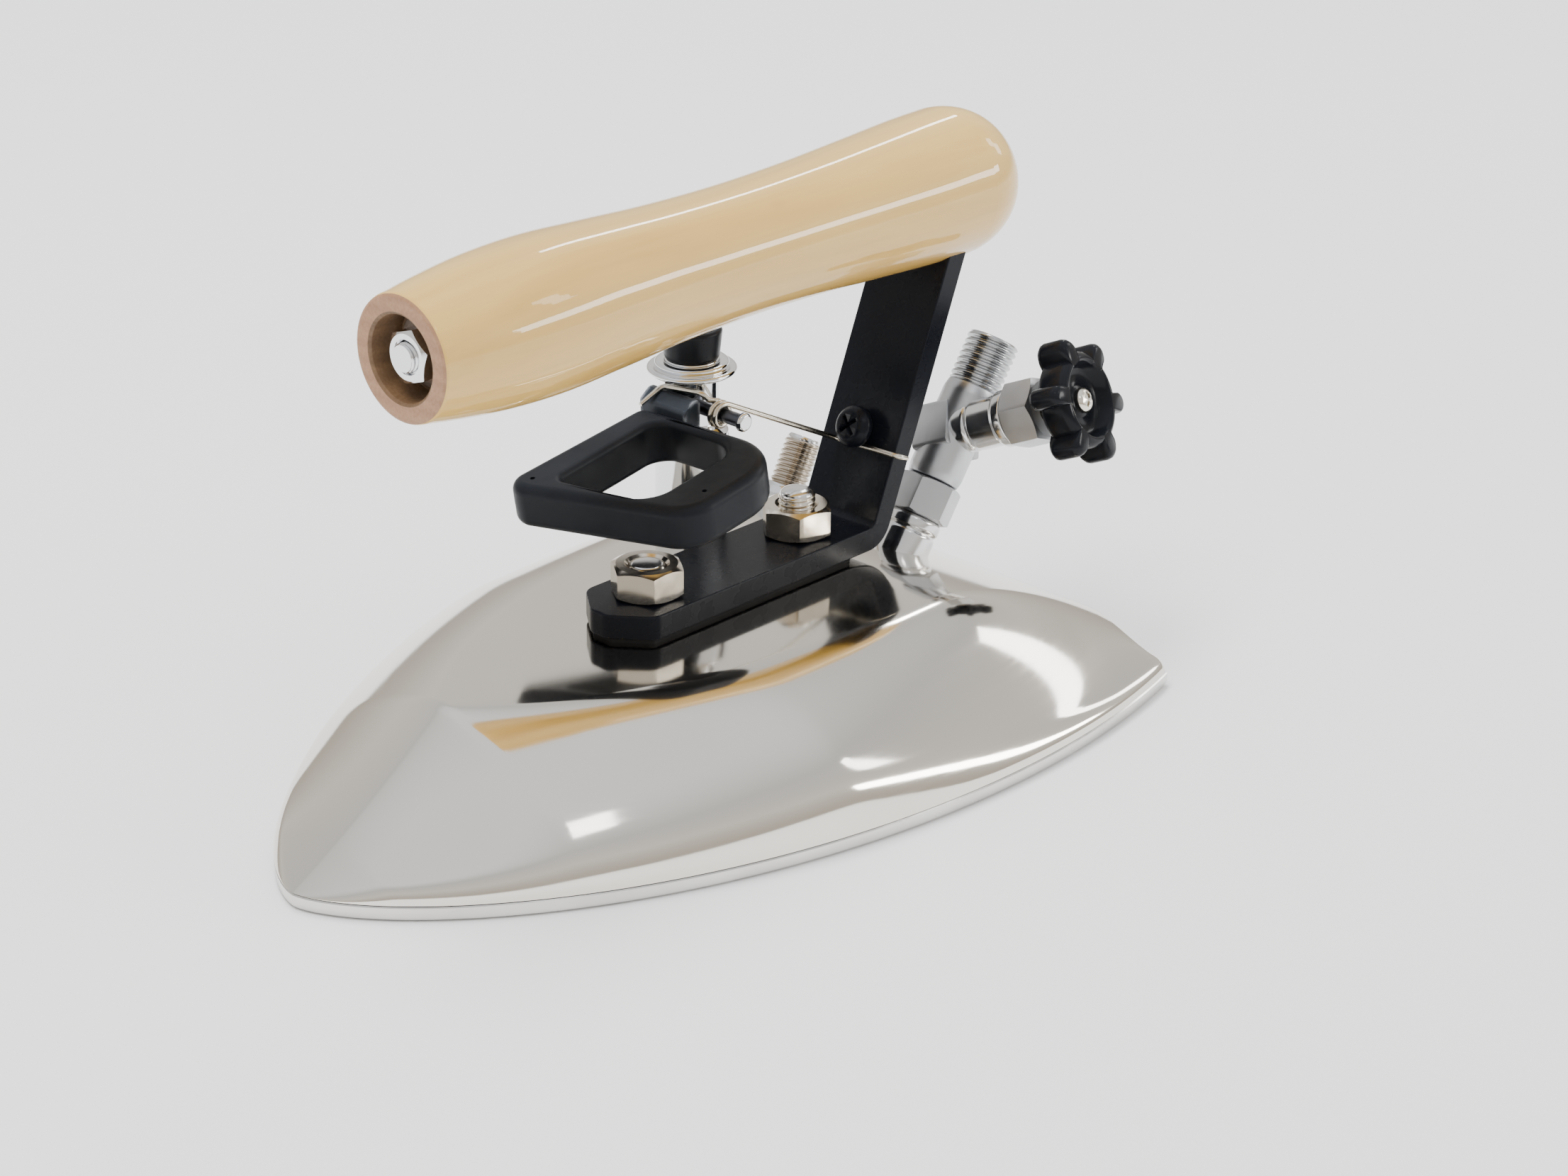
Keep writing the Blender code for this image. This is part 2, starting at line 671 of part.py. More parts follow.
def build_handle_rod():
    along_x = frame_matrix((HANDLE_X, 0.0, HANDLE_Z), (1, 0, 0))
    end = HANDLE_LENGTH - END_WALL - ROD_END_GAP
    profile = [(ROD_R - 0.6, 0.3), (ROD_R, 0.9), (ROD_R, end - 0.6), (ROD_R - 0.6, end)]
    start = (HANDLE_X, 0.0, HANDLE_Z)
    add_object("handle_rod", turned(profile, SMALL_ROUND, matrix=along_x), "nickel", origin=start)
    seat = frame_matrix((HANDLE_X + 1.2, 0.0, HANDLE_Z), (1, 0, 0))
    nut = hex_nut(ROD_NUT_FLATS, 5.2, ROD_R + GAP, radians(12), seat)
    add_object("handle_nut", nut, "chrome", origin=start)
    washer = ring(ROD_R + GAP, 7.4, 6.7, 7.7, ROUND, along_x)
    add_object("handle_washer", washer, "chrome", origin=start)


# ---------------------------------------------------------------- steam valve and lever

def build_valve_tower():
    place = Matrix.Translation((*TOWER, 0.0))
    profile = [(5.2, 14.0), (TOWER_R, 14.0), (TOWER_R, NECK_Z - 1.2), (NECK_R, NECK_Z),
               (NECK_R, TOWER_TOP_Z), (1.9, TOWER_TOP_Z), (1.9, 68.2), (3.6, 68.2), (3.6, 52.0),
               (5.2, 52.0)]
    body = add_object("valve_tower", turned(profile, ROUND, closed=True, matrix=place), "chrome",
                      origin=(*TOWER, 30.0))
    slot_low = (TOWER[0] - 12.0, TOWER[1] - 3.75, 60.4)
    cut(body, box(slot_low, (TOWER[0] + 4.6, TOWER[1] + 3.75, 68.9)))
    cut(body, rod(PIN_R + 0.2, -10.0, 10.0, matrix=frame_matrix((PIVOT[0], TOWER[1], PIVOT[1]), (0, 1, 0))))
    side_port = frame_matrix((*TOWER, 20.5), (1, 0, 0))
    cut(body, rod(DELIVERY_R + GAP, 4.0, 10.0, matrix=side_port))
    return body


def build_tower_fittings():
    place = Matrix.Translation((*TOWER, 0.0))
    centre = (*TOWER, 71.6)
    collar = [(NECK_R + 0.2, 70.7), (8.8, 70.7), (9.7, 71.5), (8.8, 72.3), (7.9, 72.3), (7.4, 73.2),
              (NECK_R + 0.2, 73.2)]
    add_object("gland_ring", turned(collar, ROUND, closed=True, matrix=place), "chrome", origin=centre)
    cap = [(0.0, 74.1), (5.7, 74.1), (6.0, 74.5), (6.6, 80.3), (6.2, 80.8), (0.0, 80.8)]
    add_object("tower_cap", turned(cap, ROUND, matrix=place), "black_rubber", origin=centre)
    seat = [(2.5, 14.6), (4.9, 14.6), (4.9, 18.0), (3.4, 18.0), (2.5, 17.2)]
    add_object("valve_seat", turned(seat, ROUND, closed=True, matrix=place), "brass", origin=centre)
    packing = ring(STEM_R + 0.2, 4.9, 45.0, 49.5, SMALL_ROUND, place)
    add_object("stem_packing", packing, "packing", origin=centre)
    gland = ring(STEM_R + 0.25, 4.9, 49.8, 51.6, SMALL_ROUND, place)
    add_object("packing_gland", gland, "brass", origin=centre)


def build_valve_stem(holder):
    place = Matrix.Translation((*TOWER, 0.0))
    profile = [(0.0, 10.6), (3.4, 10.6), (4.1, 11.6), (4.1, 12.6), (STEM_R, 14.2), (STEM_R, 61.0),
               (3.2, 61.0), (3.2, 62.4), (STEM_R, 62.4), (STEM_R, 70.6), (1.2, 71.0), (0.0, 71.0)]
    stem = add_object("valve_stem", turned(profile, SMALL_ROUND, matrix=place), "chrome",
                      origin=(*TOWER, 62.4))
    return holder.hold(stem)


def build_stem_spring():
    """Closing spring round the stem, between the packing gland and the stem's collar."""
    turns, radius, wire = 5, 2.55, 0.4
    low, high = 52.4, 60.2
    points = []
    sides = 8
    for step in range(turns * sides + 1):
        angle = 2 * pi * step / sides
        height = low + (high - low) * step / (turns * sides)
        points.append((TOWER[0] + radius * cos(angle), TOWER[1] + radius * sin(angle), height))
    return add_object("stem_spring", swept(points, wire, 5), "spring_wire", origin=(*TOWER, low))


def build_delivery_tube():
    x, y = TOWER
    route = [(x + 5.5, y, 20.5), (x + DELIVERY_REACH, y, 20.5), (x + DELIVERY_REACH, y, 4.4)]
    tube = swept(softened(route, 6.0, 5), DELIVERY_R, 12, bore=1.8)
    return add_object("delivery_tube", tube, "brass", origin=(x, y, 20.5))


def loop_matrix():
    """The loop's own plane: local +Z is its upper face's normal."""
    normal = Vector((-LOOP_SLOPE, 0.0, 1.0)).normalized()
    lean = Matrix.Rotation(-acos(normal.z), 4, "Y")
    return Matrix.Translation((TOWER[0], 0.0, 67.0)) @ lean


def loop_outline(corners, steps=5):
    """Outline given as seen from above, laid on the sloping plane."""
    stretch = sqrt(1 + LOOP_SLOPE ** 2)
    return rounded([((x - TOWER[0]) * stretch, y, radius) for x, y, radius in corners], steps)


def build_finger_loop(holder):
    outer = loop_outline([(79.2, 26.4, 4.5), (119.8, 24.6, 3.0), (122.6, -17.4, 13.0), (92.0, -17.4, 9.0)])
    hole = loop_outline([(87.8, 17.3, 1.8), (117.2, 17.3, 5.0), (117.8, -6.0, 6.5), (91.5, -6.0, 7.0)])
    solid = prism(outer, -LOOP_THICKNESS, 0.0, [hole], loop_matrix())
    loop = add_object("finger_loop", solid, "black_rubber", origin=(PIVOT[0], 0.0, PIVOT[1]))
    edge = loop.modifiers.new("edge", "BEVEL")
    edge.width = 1.2 * MM
    edge.segments = 2
    edge.limit_method = "ANGLE"
    edge.angle_limit = radians(50)
    cut(loop, box((-34.0, 18.9, -7.0), (0.0, 24.1, -3.4), loop_matrix()))
    return holder.hold(loop)


def build_lever_arm(holder):
    upright = Matrix(((1, 0, 0, 0), (0, 0, 1, 0), (0, 1, 0, 0), (0, 0, 0, 1)))
    hump = [(121.8, 61.2), (121.05, 65.9), (123.3, 67.7), (124.7, 67.7), (124.7, 61.2)]
    body = prism(hump, 12.6, 26.0, matrix=upright)
    arm = add_object("lever_arm", body, "black_paint", origin=(PIVOT[0], 0.0, PIVOT[1]))
    tail = [(123.0, 63.0), (123.0, 67.0), (135.2, 67.0), (135.2, 63.0)]
    join_shape(arm, prism(tail, TOWER[1] - 3.4, TOWER[1] + 3.4, matrix=upright))
    join_shape(arm, box((-33.0, 19.2, -6.7), (-8.0, 23.8, -3.7), loop_matrix()))
    cut(arm, rod(2.5, 60.0, 70.0, matrix=Matrix.Translation((*TOWER, 0.0))))
    cut(arm, rod(PIN_R + 0.2, 10.0, 30.0, matrix=frame_matrix((PIVOT[0], 0.0, PIVOT[1]), (0, 1, 0))))
    return holder.hold(arm)


def build_lever_pin():
    profile = [(0.0, 1.2), (1.6, 1.2), (2.0, 1.6), (2.0, 2.4), (PIN_R, 2.6), (PIN_R, 27.0), (0.0, 27.0)]
    along_y = frame_matrix((PIVOT[0], 0.0, PIVOT[1]), (0, 1, 0))
    return add_object("lever_pin", turned(profile, SMALL_ROUND, matrix=along_y), "chrome",
                      origin=(PIVOT[0], 0.0, PIVOT[1]))


def spring_route():
    """Over the lever's neck, round the pin, back to the upright and under its screw."""
    coil_r = PIN_R + 1.0
    points = softened([(117.8, 23.0, 66.0), (124.1, 22.6, 68.6), (125.3, 12.3, 69.4), (126.4, 11.3, 67.9)])
    turns, start_y, end_y = 2, 10.6, 7.6
    lead = radians(25)
    steps = turns * 12
    for step in range(steps + 1):
        share = step / steps
        angle = share * (2 * pi * turns + lead)
        points.append(Vector((PIVOT[0] + coil_r * sin(angle), start_y + (end_y - start_y) * share,
                              PIVOT[1] + coil_r * cos(angle))))
    x, z = lean_point((SPRING_END_Z - PLATE_TOP_Z) / cos(LEAN), 1.1)
    points += softened([points.pop(), (x, 5.6, z), (x + 0.2, -11.9, z + 0.6), (x + 3.0, -12.4, z - 0.6)])
    return points


def build_return_spring():
    return add_object("return_spring", swept(spring_route(), 0.6, 6), "spring_wire",
                      origin=(PIVOT[0], 0.0, PIVOT[1]))


# ---------------------------------------------------------------- inlet, regulating valve and drain

def inlet_matrix():
    return frame_matrix(INLET_FOOT, INLET_AXIS)


def junction():
    return INLET_FOOT + INLET_AXIS * JUNCTION


def wheel_matrix():
    return frame_matrix(junction(), WHEEL_AXIS, side=INLET_AXIS)


def build_inlet():
    place = inlet_matrix()
    boss = [(3.9, -7.0), (6.0, -7.0), (6.0, 1.4), (5.5, 1.9), (6.0, 2.4), (6.0, 4.6), (5.6, 5.0), (3.9, 5.0)]
    add_object("inlet_boss", turned(boss, ROUND, closed=True, matrix=place), "polished", origin=INLET_FOOT)
    nut = prism(hexagon(INLET_NUT_FLATS, radians(20)), 5.3, 13.8, [circle(5.0)], place)
    add_object("inlet_nut", nut, "cast_silver", origin=INLET_FOOT, smooth=False)


def build_regulator_body():
    place = inlet_matrix()
    profile = [(2.6, -6.0), (3.6, -6.0), (3.6, 5.3), (4.7, 5.5), (4.7, 14.1), (5.8, 14.1), (6.2, 20.0),
               (6.2, 34.6), (5.95, 36.6), (5.95, 47.7), (5.4, 48.3), (3.6, 48.3), (3.6, 15.0), (2.6, 14.0)]
    body = add_object("regulator_body", turned(profile, ROUND, closed=True, matrix=place), "cast_silver",
                      origin=junction())
    branch = wheel_matrix()
    join_shape(body, turned([(0.0, 0.0), (5.7, 0.0), (5.7, 13.6), (6.3, 14.2), (6.3, 16.0), (0.0, 16.0)],
                            SMALL_ROUND + 4, matrix=branch))
    join_shape(body, box((-5.2, -6.5, -6.6), (5.2, 6.5, 2.0), branch))
    cut(body, rod(3.4, -5.4, 20.0, SMALL_ROUND, branch))
    cut(body, rod(3.0, 0.0, 60.0, SMALL_ROUND, place))
    return body


def build_regulator_trim(holder):
    branch = wheel_matrix()
    nut = hex_nut(BONNET_NUT_FLATS, 8.2, 2.4, radians(15), branch @ Matrix.Translation((0, 0, 16.3)))
    add_object("bonnet_nut", nut, "cast_silver", origin=junction(), smooth=False)
    packing = ring(2.35, 3.2, 11.0, 15.6, SMALL_ROUND, branch)
    add_object("bonnet_packing", packing, "packing", origin=junction())
    needle = [(0.0, -4.6), (0.6, -4.6), (2.6, -1.6), (2.6, 2.2), (0.0, 2.2)]
    disc = add_object("regulator_needle", turned(needle, SMALL_ROUND, matrix=branch), "brass",
                      origin=junction())
    holder.hold(disc)
    spindle = [(0.0, 2.5), (2.1, 2.5), (2.1, 26.2), (0.0, 26.2)]
    made = add_object("spindle", turned(spindle, SMALL_ROUND, matrix=branch), "nickel", origin=junction())
    holder.hold(made)
    build_handwheel(branch, holder)


def build_handwheel(branch, holder):
    low, high = WHEEL_SPAN
    dish = [(0.0, low), (4.6, low), (5.4, low + 1.6), (9.6, low + 2.0), (WHEEL_R, low + 3.2),
            (WHEEL_R, high - 1.0), (WHEEL_R - 1.2, high), (8.6, high - 0.6), (7.6, high - 3.4),
            (4.0, high - 3.4), (3.6, high - 2.8), (0.0, high - 2.8)]
    wheel = add_object("handwheel", turned(dish, 24, matrix=branch), "black_gloss", origin=junction())
    for lobe in range(LOBES):
        angle = 2 * pi * lobe / LOBES + LOBE_TURN
        centre = (LOBE_REACH * cos(angle), LOBE_REACH * sin(angle), 0.0)
        place = branch @ Matrix.Translation(centre)
        profile = [(0.0, low + 0.4), (LOBE_R - 0.8, low + 0.4), (LOBE_R, low + 1.4),
                   (LOBE_R, high - 1.2), (LOBE_R - 0.8, high - 0.2), (0.0, high - 0.2)]
        join_shape(wheel, turned(profile, 8, matrix=place))
    holder.hold(wheel)
    head = [(0.0, 33.9), (2.7, 33.9), (2.9, 34.3), (2.2, 35.2), (0.0, 35.5)]
    screw = add_object("handwheel_screw", turned(head, SMALL_ROUND, matrix=branch), "nickel",
                       origin=junction())
    for turn in (0.0, pi / 2):
        cut(screw, box((-1.5, -0.3, 34.7), (1.5, 0.3, 38.0), branch @ Matrix.Rotation(turn, 4, "Z")))
    holder.hold(screw)


def build_drain():
    place = frame_matrix(DRAIN_FOOT, DRAIN_AXIS)
    boss = [(4.5, -7.0), (6.3, -7.0), (6.3, 1.4), (5.4, 2.6), (5.2, 3.6), (4.5, 3.6)]
    add_object("drain_boss", turned(boss, ROUND, closed=True, matrix=place), "polished", origin=DRAIN_FOOT)
    nipple = [(2.6, -8.0), (4.2, -8.0), (4.2, 14.9), (3.7, 15.4), (2.6, 15.4)]
    add_object("drain_nipple", turned(nipple, ROUND, closed=True, matrix=place), "nickel", origin=DRAIN_FOOT)


# ---------------------------------------------------------------- assembly

def main():
    clear_scene()
    build_sole_plate()
    build_chest_floor()
    build_steam_chest()
    build_body_shell()
    build_bracket_gasket()
    build_handle_bracket()
    build_studs_and_nuts()
    build_handle()
    build_handle_rod()
    build_valve_tower()
    build_tower_fittings()
    stem_axis = Pivot("valve_stem_slide", (*TOWER, 62.4))
    build_valve_stem(stem_axis)
    build_stem_spring()
    build_delivery_tube()
    lever_axis = Pivot("lever_hinge", (PIVOT[0], 0.0, PIVOT[1]))
    build_finger_loop(lever_axis)
    build_lever_arm(lever_axis)
    build_lever_pin()
    build_return_spring()
    build_spring_screw()
    build_inlet()
    build_regulator_body()
    wheel_axis = Pivot("handwheel_turn", junction())
    build_regulator_trim(wheel_axis)
    build_drain()


main()
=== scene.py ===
# Looks of the boiler-fed pressing iron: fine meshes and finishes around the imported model.
# Lengths are in millimetres, with x measured from the toe; TO_FRAME turns them into the frame's metres.

import json
from math import acos, ceil, cos, exp, pi, radians, sin, sqrt, tan

import bmesh
import bpy
from mathutils import Matrix, Vector


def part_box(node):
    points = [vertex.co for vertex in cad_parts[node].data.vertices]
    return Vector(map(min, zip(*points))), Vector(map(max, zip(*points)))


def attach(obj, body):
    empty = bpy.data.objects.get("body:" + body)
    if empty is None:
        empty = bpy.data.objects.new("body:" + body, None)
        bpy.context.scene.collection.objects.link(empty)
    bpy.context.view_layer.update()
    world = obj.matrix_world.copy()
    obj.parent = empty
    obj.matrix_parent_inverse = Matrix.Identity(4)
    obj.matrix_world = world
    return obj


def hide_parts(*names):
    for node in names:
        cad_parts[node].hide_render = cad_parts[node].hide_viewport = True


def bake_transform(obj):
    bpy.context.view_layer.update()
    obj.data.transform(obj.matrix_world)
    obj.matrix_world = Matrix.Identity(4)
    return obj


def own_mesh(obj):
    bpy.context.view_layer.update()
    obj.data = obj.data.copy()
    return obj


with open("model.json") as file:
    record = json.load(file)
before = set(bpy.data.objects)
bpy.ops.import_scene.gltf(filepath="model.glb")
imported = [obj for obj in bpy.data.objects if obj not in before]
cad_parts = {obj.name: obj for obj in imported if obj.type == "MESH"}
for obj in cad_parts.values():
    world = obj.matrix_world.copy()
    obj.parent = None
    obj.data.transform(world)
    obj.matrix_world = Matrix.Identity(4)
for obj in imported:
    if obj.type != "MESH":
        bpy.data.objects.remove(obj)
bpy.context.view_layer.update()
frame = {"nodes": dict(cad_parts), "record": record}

MM = 0.001
sole_low, sole_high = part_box("sole_plate")
LENGTH = (sole_high.x - sole_low.x) / MM
TO_FRAME = Matrix.Scale(MM, 4) @ Matrix.Translation((-LENGTH / 2, 0.0, 0.0))

# Body
HALF_WIDTH = 66.6
HEEL_HALF_WIDTH = 58.8
WIDEST_X = 142.0
TOE_POWER = 0.66  # 0.5 would be an ellipse, larger is more pointed
SOLE_THICKNESS = sole_high.z / MM
SOLE_CHAMFER = 0.8
SOLE_TOP_CHAMFER = 0.25
RIM_Z = 3.3  # lower edge of the shell
TOP_Z = 30.0
PROW_X = 39.5  # where the prow crease meets the flat top
HEEL_DROP_X = 147.0  # where the top starts to fall towards the heel
HEEL_DROP = 18.2
FLAT_HALF_WIDTH = 37.0  # the flat on top widens towards this
FLANK_POWER = 1.26  # 1 would be a straight slope, 2 an ellipse
FLANK_POWER_GAIN = 0.46  # added to it between the toe and FLANK_POWER_TO
FLANK_POWER_TO = 90.0
HOLLOW = 0.95  # how far the flank turns concave at the heel
HOLLOW_FROM = 95.0
HOLLOW_LENGTH = 85.0
SHELL_WALL = 1.6
LIP_ROLL = 3.0  # radius of the lip rolled along the rim
HEEL_ROUND = 2.2  # radius over which the shell turns down at the heel
STEAM_HOLE_R = 1.5

# Bracket, studs and nuts
STRIP_HALF_WIDTH = 10.4
PLATE_BOTTOM_Z = 31.0
PLATE_TOP_Z = 36.3
PLATE_NOSE_X = 82.6
BEND_X = 155.4  # where the upright's front face meets the plate's top plane
LEAN = radians(22.0)
UPRIGHT_TOP_Z = 111.0
FRONT_STUD_X = 96.8
REAR_STUD_X = 142.1
STUD_R = 4.0
NUT_FLATS = 14.0
NUT_HEIGHT = 6.7
SCREW_Z = 54.5  # height of the spring's screw on the upright
SPRING_END_Z = 50.9  # height at which the spring's wire crosses the upright

# Handle
HANDLE_X = 32.0
HANDLE_Z = 104.8
HANDLE_LENGTH = 168.5
SWELL_END = 154.5  # from here to its end the grip is rounded off
SWELL_END_R = 16.4
END_FLAT_R = 7.0
ROD_R = 3.0
COUNTERBORE_R = 8.7
COUNTERBORE_DEPTH = 8.0
ROD_NUT_FLATS = 10.0

# Steam valve and lever
TOWER = (131.3, 21.0)
TOWER_R = 8.0
NECK_R = 5.8
NECK_Z = 59.0
TOWER_TOP_Z = 73.8
STEM_R = 1.6
PIVOT = (127.6, 65.0)  # x and z of the lever's pin
PIN_R = 1.5
LOOP_SLOPE = 0.17
LOOP_THICKNESS = 10.0
LOOP_TOP_Z = 67.0  # height of the loop's upper plane at the tower's x

# Ports
INLET_FOOT = Vector((173.5, -4.2, 26.5))
INLET_AXIS = Vector((0.578, 0.0, 0.816)).normalized()
DRAIN_FOOT = Vector((169.1, 29.9, 26.7))
DRAIN_AXIS = Vector((0.5, 0.0, 0.866)).normalized()
INLET_BOSS_R = 6.0
DRAIN_BOSS_R = 6.3
INLET_NUT_FLATS = 13.0
BONNET_NUT_FLATS = 13.6
JUNCTION = 26.0  # from the inlet's foot to the handwheel's branch
WHEEL_AXIS = Vector((0.2096, -0.8934, 0.3981)).normalized()
WHEEL_R = 10.7
LOBE_R = 2.3
LOBE_REACH = 12.3  # from the wheel's axis to a lobe's centre
LOBE_TURN = radians(47.0)
LOBES = 6
WHEEL_SPAN = (26.5, 36.4)  # the handwheel's back and front along its axis

# Camera
CAMERA_TARGET = (100.0, -35.9, 47.43)
CAMERA_DISTANCE = 741.13
CAMERA_AZIMUTH = radians(-46.87)
CAMERA_ELEVATION = radians(23.92)
CAMERA_ROLL = radians(0.56)
CAMERA_LENS = 84.77
SENSOR_WIDTH = 36.0

ROUND = 96  # sides of a turned piece
SHARP = 38.0  # edges that bend more than this, in degrees, are shaded sharp


# ---- mesh helpers

BODIES = frame["record"]["behaviour"]["bodies"]
BODY_OF = {node: body for body, nodes in BODIES.items() for node in nodes}


def in_frame(x, y, z):
    """A place in millimetres from the toe, in the frame's metres."""
    return (x - LENGTH / 2) * MM, y * MM, z * MM


def around(segments):
    """The angles of one turn."""
    return [2 * pi * step / segments for step in range(segments)]


def ring(radius, height, segments):
    return [(radius * cos(a), radius * sin(a), height) for a in around(segments)]


def frame_matrix(origin, axis, side=(0.0, 1.0, 0.0)):
    """A matrix that carries local +Z onto axis and local +X near side."""
    z_axis = Vector(axis).normalized()
    if abs(z_axis.dot(Vector(side))) > 0.99:
        side = (1.0, 0.0, 0.0)
    x_axis = (Vector(side) - z_axis * Vector(side).dot(z_axis)).normalized()
    y_axis = z_axis.cross(x_axis)
    turn = Matrix((x_axis, y_axis, z_axis)).transposed().to_4x4()
    return Matrix.Translation(Vector(origin)) @ turn


def skinned(loops, closed=False, matrix=None):
    """Faces between loops of points; the ends are capped, or joined to each other when closed."""
    made = bmesh.new()
    rings = [[made.verts.new(point) for point in loop] for loop in loops]
    pairs = list(zip(rings, rings[1:]))
    if closed:
        pairs.append((rings[-1], rings[0]))
    for low, high in pairs:
        count = max(len(low), len(high))
        for step in range(count):
            after = (step + 1) % count
            if len(low) == 1 and len(high) == 1:
                continue
            if len(low) == 1:
                made.faces.new((low[0], high[step], high[after]))
            elif len(high) == 1:
                made.faces.new((low[step], low[after], high[0]))
            else:
                made.faces.new((low[step], low[after], high[after], high[step]))
    if not closed:
        for end in (rings[0], rings[-1]):
            if len(end) > 1:
                made.faces.new(end)
    if matrix:
        made.transform(matrix)
    return made


def eased(points, reach, steps=3, closed=False):
    """The same line with each corner replaced by a short curve that starts reach before it."""
    path = [Vector(point) for point in points]
    count = len(path)
    result = []
    for index, here in enumerate(path):
        if not closed and index in (0, count - 1):
            result.append(here)
            continue
        before = path[index - 1] - here
        after = path[(index + 1) % count] - here
        start = here + before.normalized() * min(reach, before.length * 0.45)
        end = here + after.normalized() * min(reach, after.length * 0.45)
        for step in range(steps + 1):
            share = step / steps
            result.append(start.lerp(here, share).lerp(here.lerp(end, share), share))
    return result


def smooth_line(points, steps):
    """A Catmull-Rom curve through the points."""
    path = [Vector(point) for point in points]
    path = [path[0] * 2 - path[1]] + path + [path[-1] * 2 - path[-2]]
    result = []
    for a, b, c, d in zip(path, path[1:], path[2:], path[3:]):
        for step in range(steps):
            t = step / steps
            result.append(0.5 * ((2 * b) + (c - a) * t + (2 * a - 5 * b + 4 * c - d) * t ** 2
                                 + (3 * b - a - 3 * c + d) * t ** 3))
    result.append(path[-2])
    return result


def turned(profile, ease=0.3, closed=False, matrix=None, segments=ROUND):
    """Spin a profile of (radius, height) points about +Z, its corners eased."""
    on_axis = 1e-4
    loops = []
    for radius, height in eased(profile, ease, closed=closed):
        loops.append([(0.0, 0.0, height)] if radius < on_axis else ring(radius, height, segments))
    return skinned(loops, closed, matrix)


def threaded(radius, low, high, pitch, depth, bore=None, matrix=None):
    """A screw thread with rounded crests and chamfered ends, solid or with a bore."""
    segments = 64
    per_turn = 16
    count = ceil((high - low) / pitch * per_turn)
    loops = []
    for row in range(count + 1):
        height = low + (high - low) * row / count
        from_end = min(height - low, high - height)
        loop = []
        for angle in around(segments):
            wave = 0.5 - 0.5 * cos(2 * pi * (height - low) / pitch - angle)
            crest = radius - depth * wave ** 1.4
            size = min(crest, radius - depth * 0.9 + from_end)
            loop.append((size * cos(angle), size * sin(angle), height))
        loops.append(loop)
    if bore:
        loops += [ring(bore, high, segments), ring(bore, low, segments)]
    return skinned(loops, closed=bool(bore), matrix=matrix)


def hex_piece(flats, height, bore, turn=0.0, slope=0.5, matrix=None):
    """A hexagon nut whose corners are cut by a cone at both ends."""
    reach = flats / 2
    inner = reach * 0.93
    corner = reach * 1.147
    loops = [[] for _ in range(8)]
    for local in around(ROUND):
        from_flat = (local + radians(30)) % radians(60) - radians(30)
        side = min(reach / cos(from_flat), corner)
        drop = (side - inner) * slope
        sizes = [(bore, 0.5), (bore + 0.5, 0.0), (inner, 0.0), (side, drop), (side, height - drop),
                 (inner, height), (bore + 0.7, height), (bore, height - 0.7)]
        for loop, (size, level) in zip(loops, sizes):
            loop.append((size * cos(local + turn), size * sin(local + turn), level))
    return skinned(loops, closed=True, matrix=matrix)


def stacked(levels, holes=(), matrix=None, channels=()):
    """Skin a stack of (outline, height) levels and close both ends.

    Holes are outlines that run straight through; channels are stacks of their own.
    """
    made = bmesh.new()
    stacks = [levels, *channels]
    for hole in holes:
        stacks.append([(hole, levels[0][1]), (hole, levels[-1][1])])
    end_edges = ([], [])
    for stack in stacks:
        loops = [[made.verts.new((x, y, height)) for x, y in outline] for outline, height in stack]
        count = len(loops[0])
        for low, high in zip(loops, loops[1:]):
            for index in range(count):
                after = (index + 1) % count
                made.faces.new((low[index], low[after], high[after], high[index]))
        for edges, loop in zip(end_edges, (loops[0], loops[-1])):
            for index in range(count):
                edges.append(made.edges.get((loop[index], loop[(index + 1) % count])))
    for edges in end_edges:
        bmesh.ops.triangle_fill(made, edges=edges, use_beauty=True, normal=(0, 0, 1))
    if matrix:
        made.transform(matrix)
    return made


def prism(outline, low, high, matrix=None):
    return stacked([(outline, low), (outline, high)], matrix=matrix)


def drawn_in(outline, inset):
    """The outline moved inwards by inset, or outwards when inset is negative."""
    count = len(outline)
    area = sum(outline[k - 1][0] * outline[k][1] - outline[k][0] * outline[k - 1][1]
               for k in range(count))
    turn = 1 if area > 0 else -1
    moved = []
    for index, (x, y) in enumerate(outline):
        before = outline[index - 1]
        after = outline[(index + 1) % count]
        along = Vector((after[0] - before[0], after[1] - before[1])).normalized()
        moved.append((x - along.y * inset * turn, y + along.x * inset * turn))
    return moved


def round_edged(outline, low, high, radius):
    """Levels of a block whose two rims are rounded; a negative radius flares a hole's mouths."""
    steps = 7
    size = abs(radius)
    angles = [pi / 2 * step / steps for step in range(steps + 1)]
    outlines = [drawn_in(outline, radius * (1 - sin(a))) for a in angles]
    lower = [(drawn, low + size * (1 - cos(a))) for drawn, a in zip(outlines, angles)]
    upper = [(drawn, high - size * (1 - cos(a))) for drawn, a in zip(outlines, angles)]
    return lower + upper[::-1]


def box(low, high, matrix=None):
    outline = [(low[0], low[1]), (high[0], low[1]), (high[0], high[1]), (low[0], high[1])]
    return prism(outline, low[2], high[2], matrix=matrix)


def circle(radius, segments, centre):
    return [(centre[0] + radius * cos(a), centre[1] + radius * sin(a)) for a in around(segments)]


def rounded(corners, steps):
    """An outline through corners of (x, y, radius), each corner replaced by an arc."""
    outline = []
    count = len(corners)
    for index, (x, y, radius) in enumerate(corners):
        if radius == 0:
            outline.append((x, y))
            continue
        here = Vector((x, y))
        before = (Vector(corners[index - 1][:2]) - here).normalized()
        after = (Vector(corners[(index + 1) % count][:2]) - here).normalized()
        half = acos(max(-1.0, min(1.0, before.dot(after)))) / 2
        reach = radius / tan(half)
        centre = here + (before + after).normalized() * (radius / sin(half))
        start = here + before * reach - centre
        end = here + after * reach - centre
        for step in range(steps + 1):
            outline.append(tuple(centre + start.lerp(end, step / steps).normalized() * radius))
    return outline


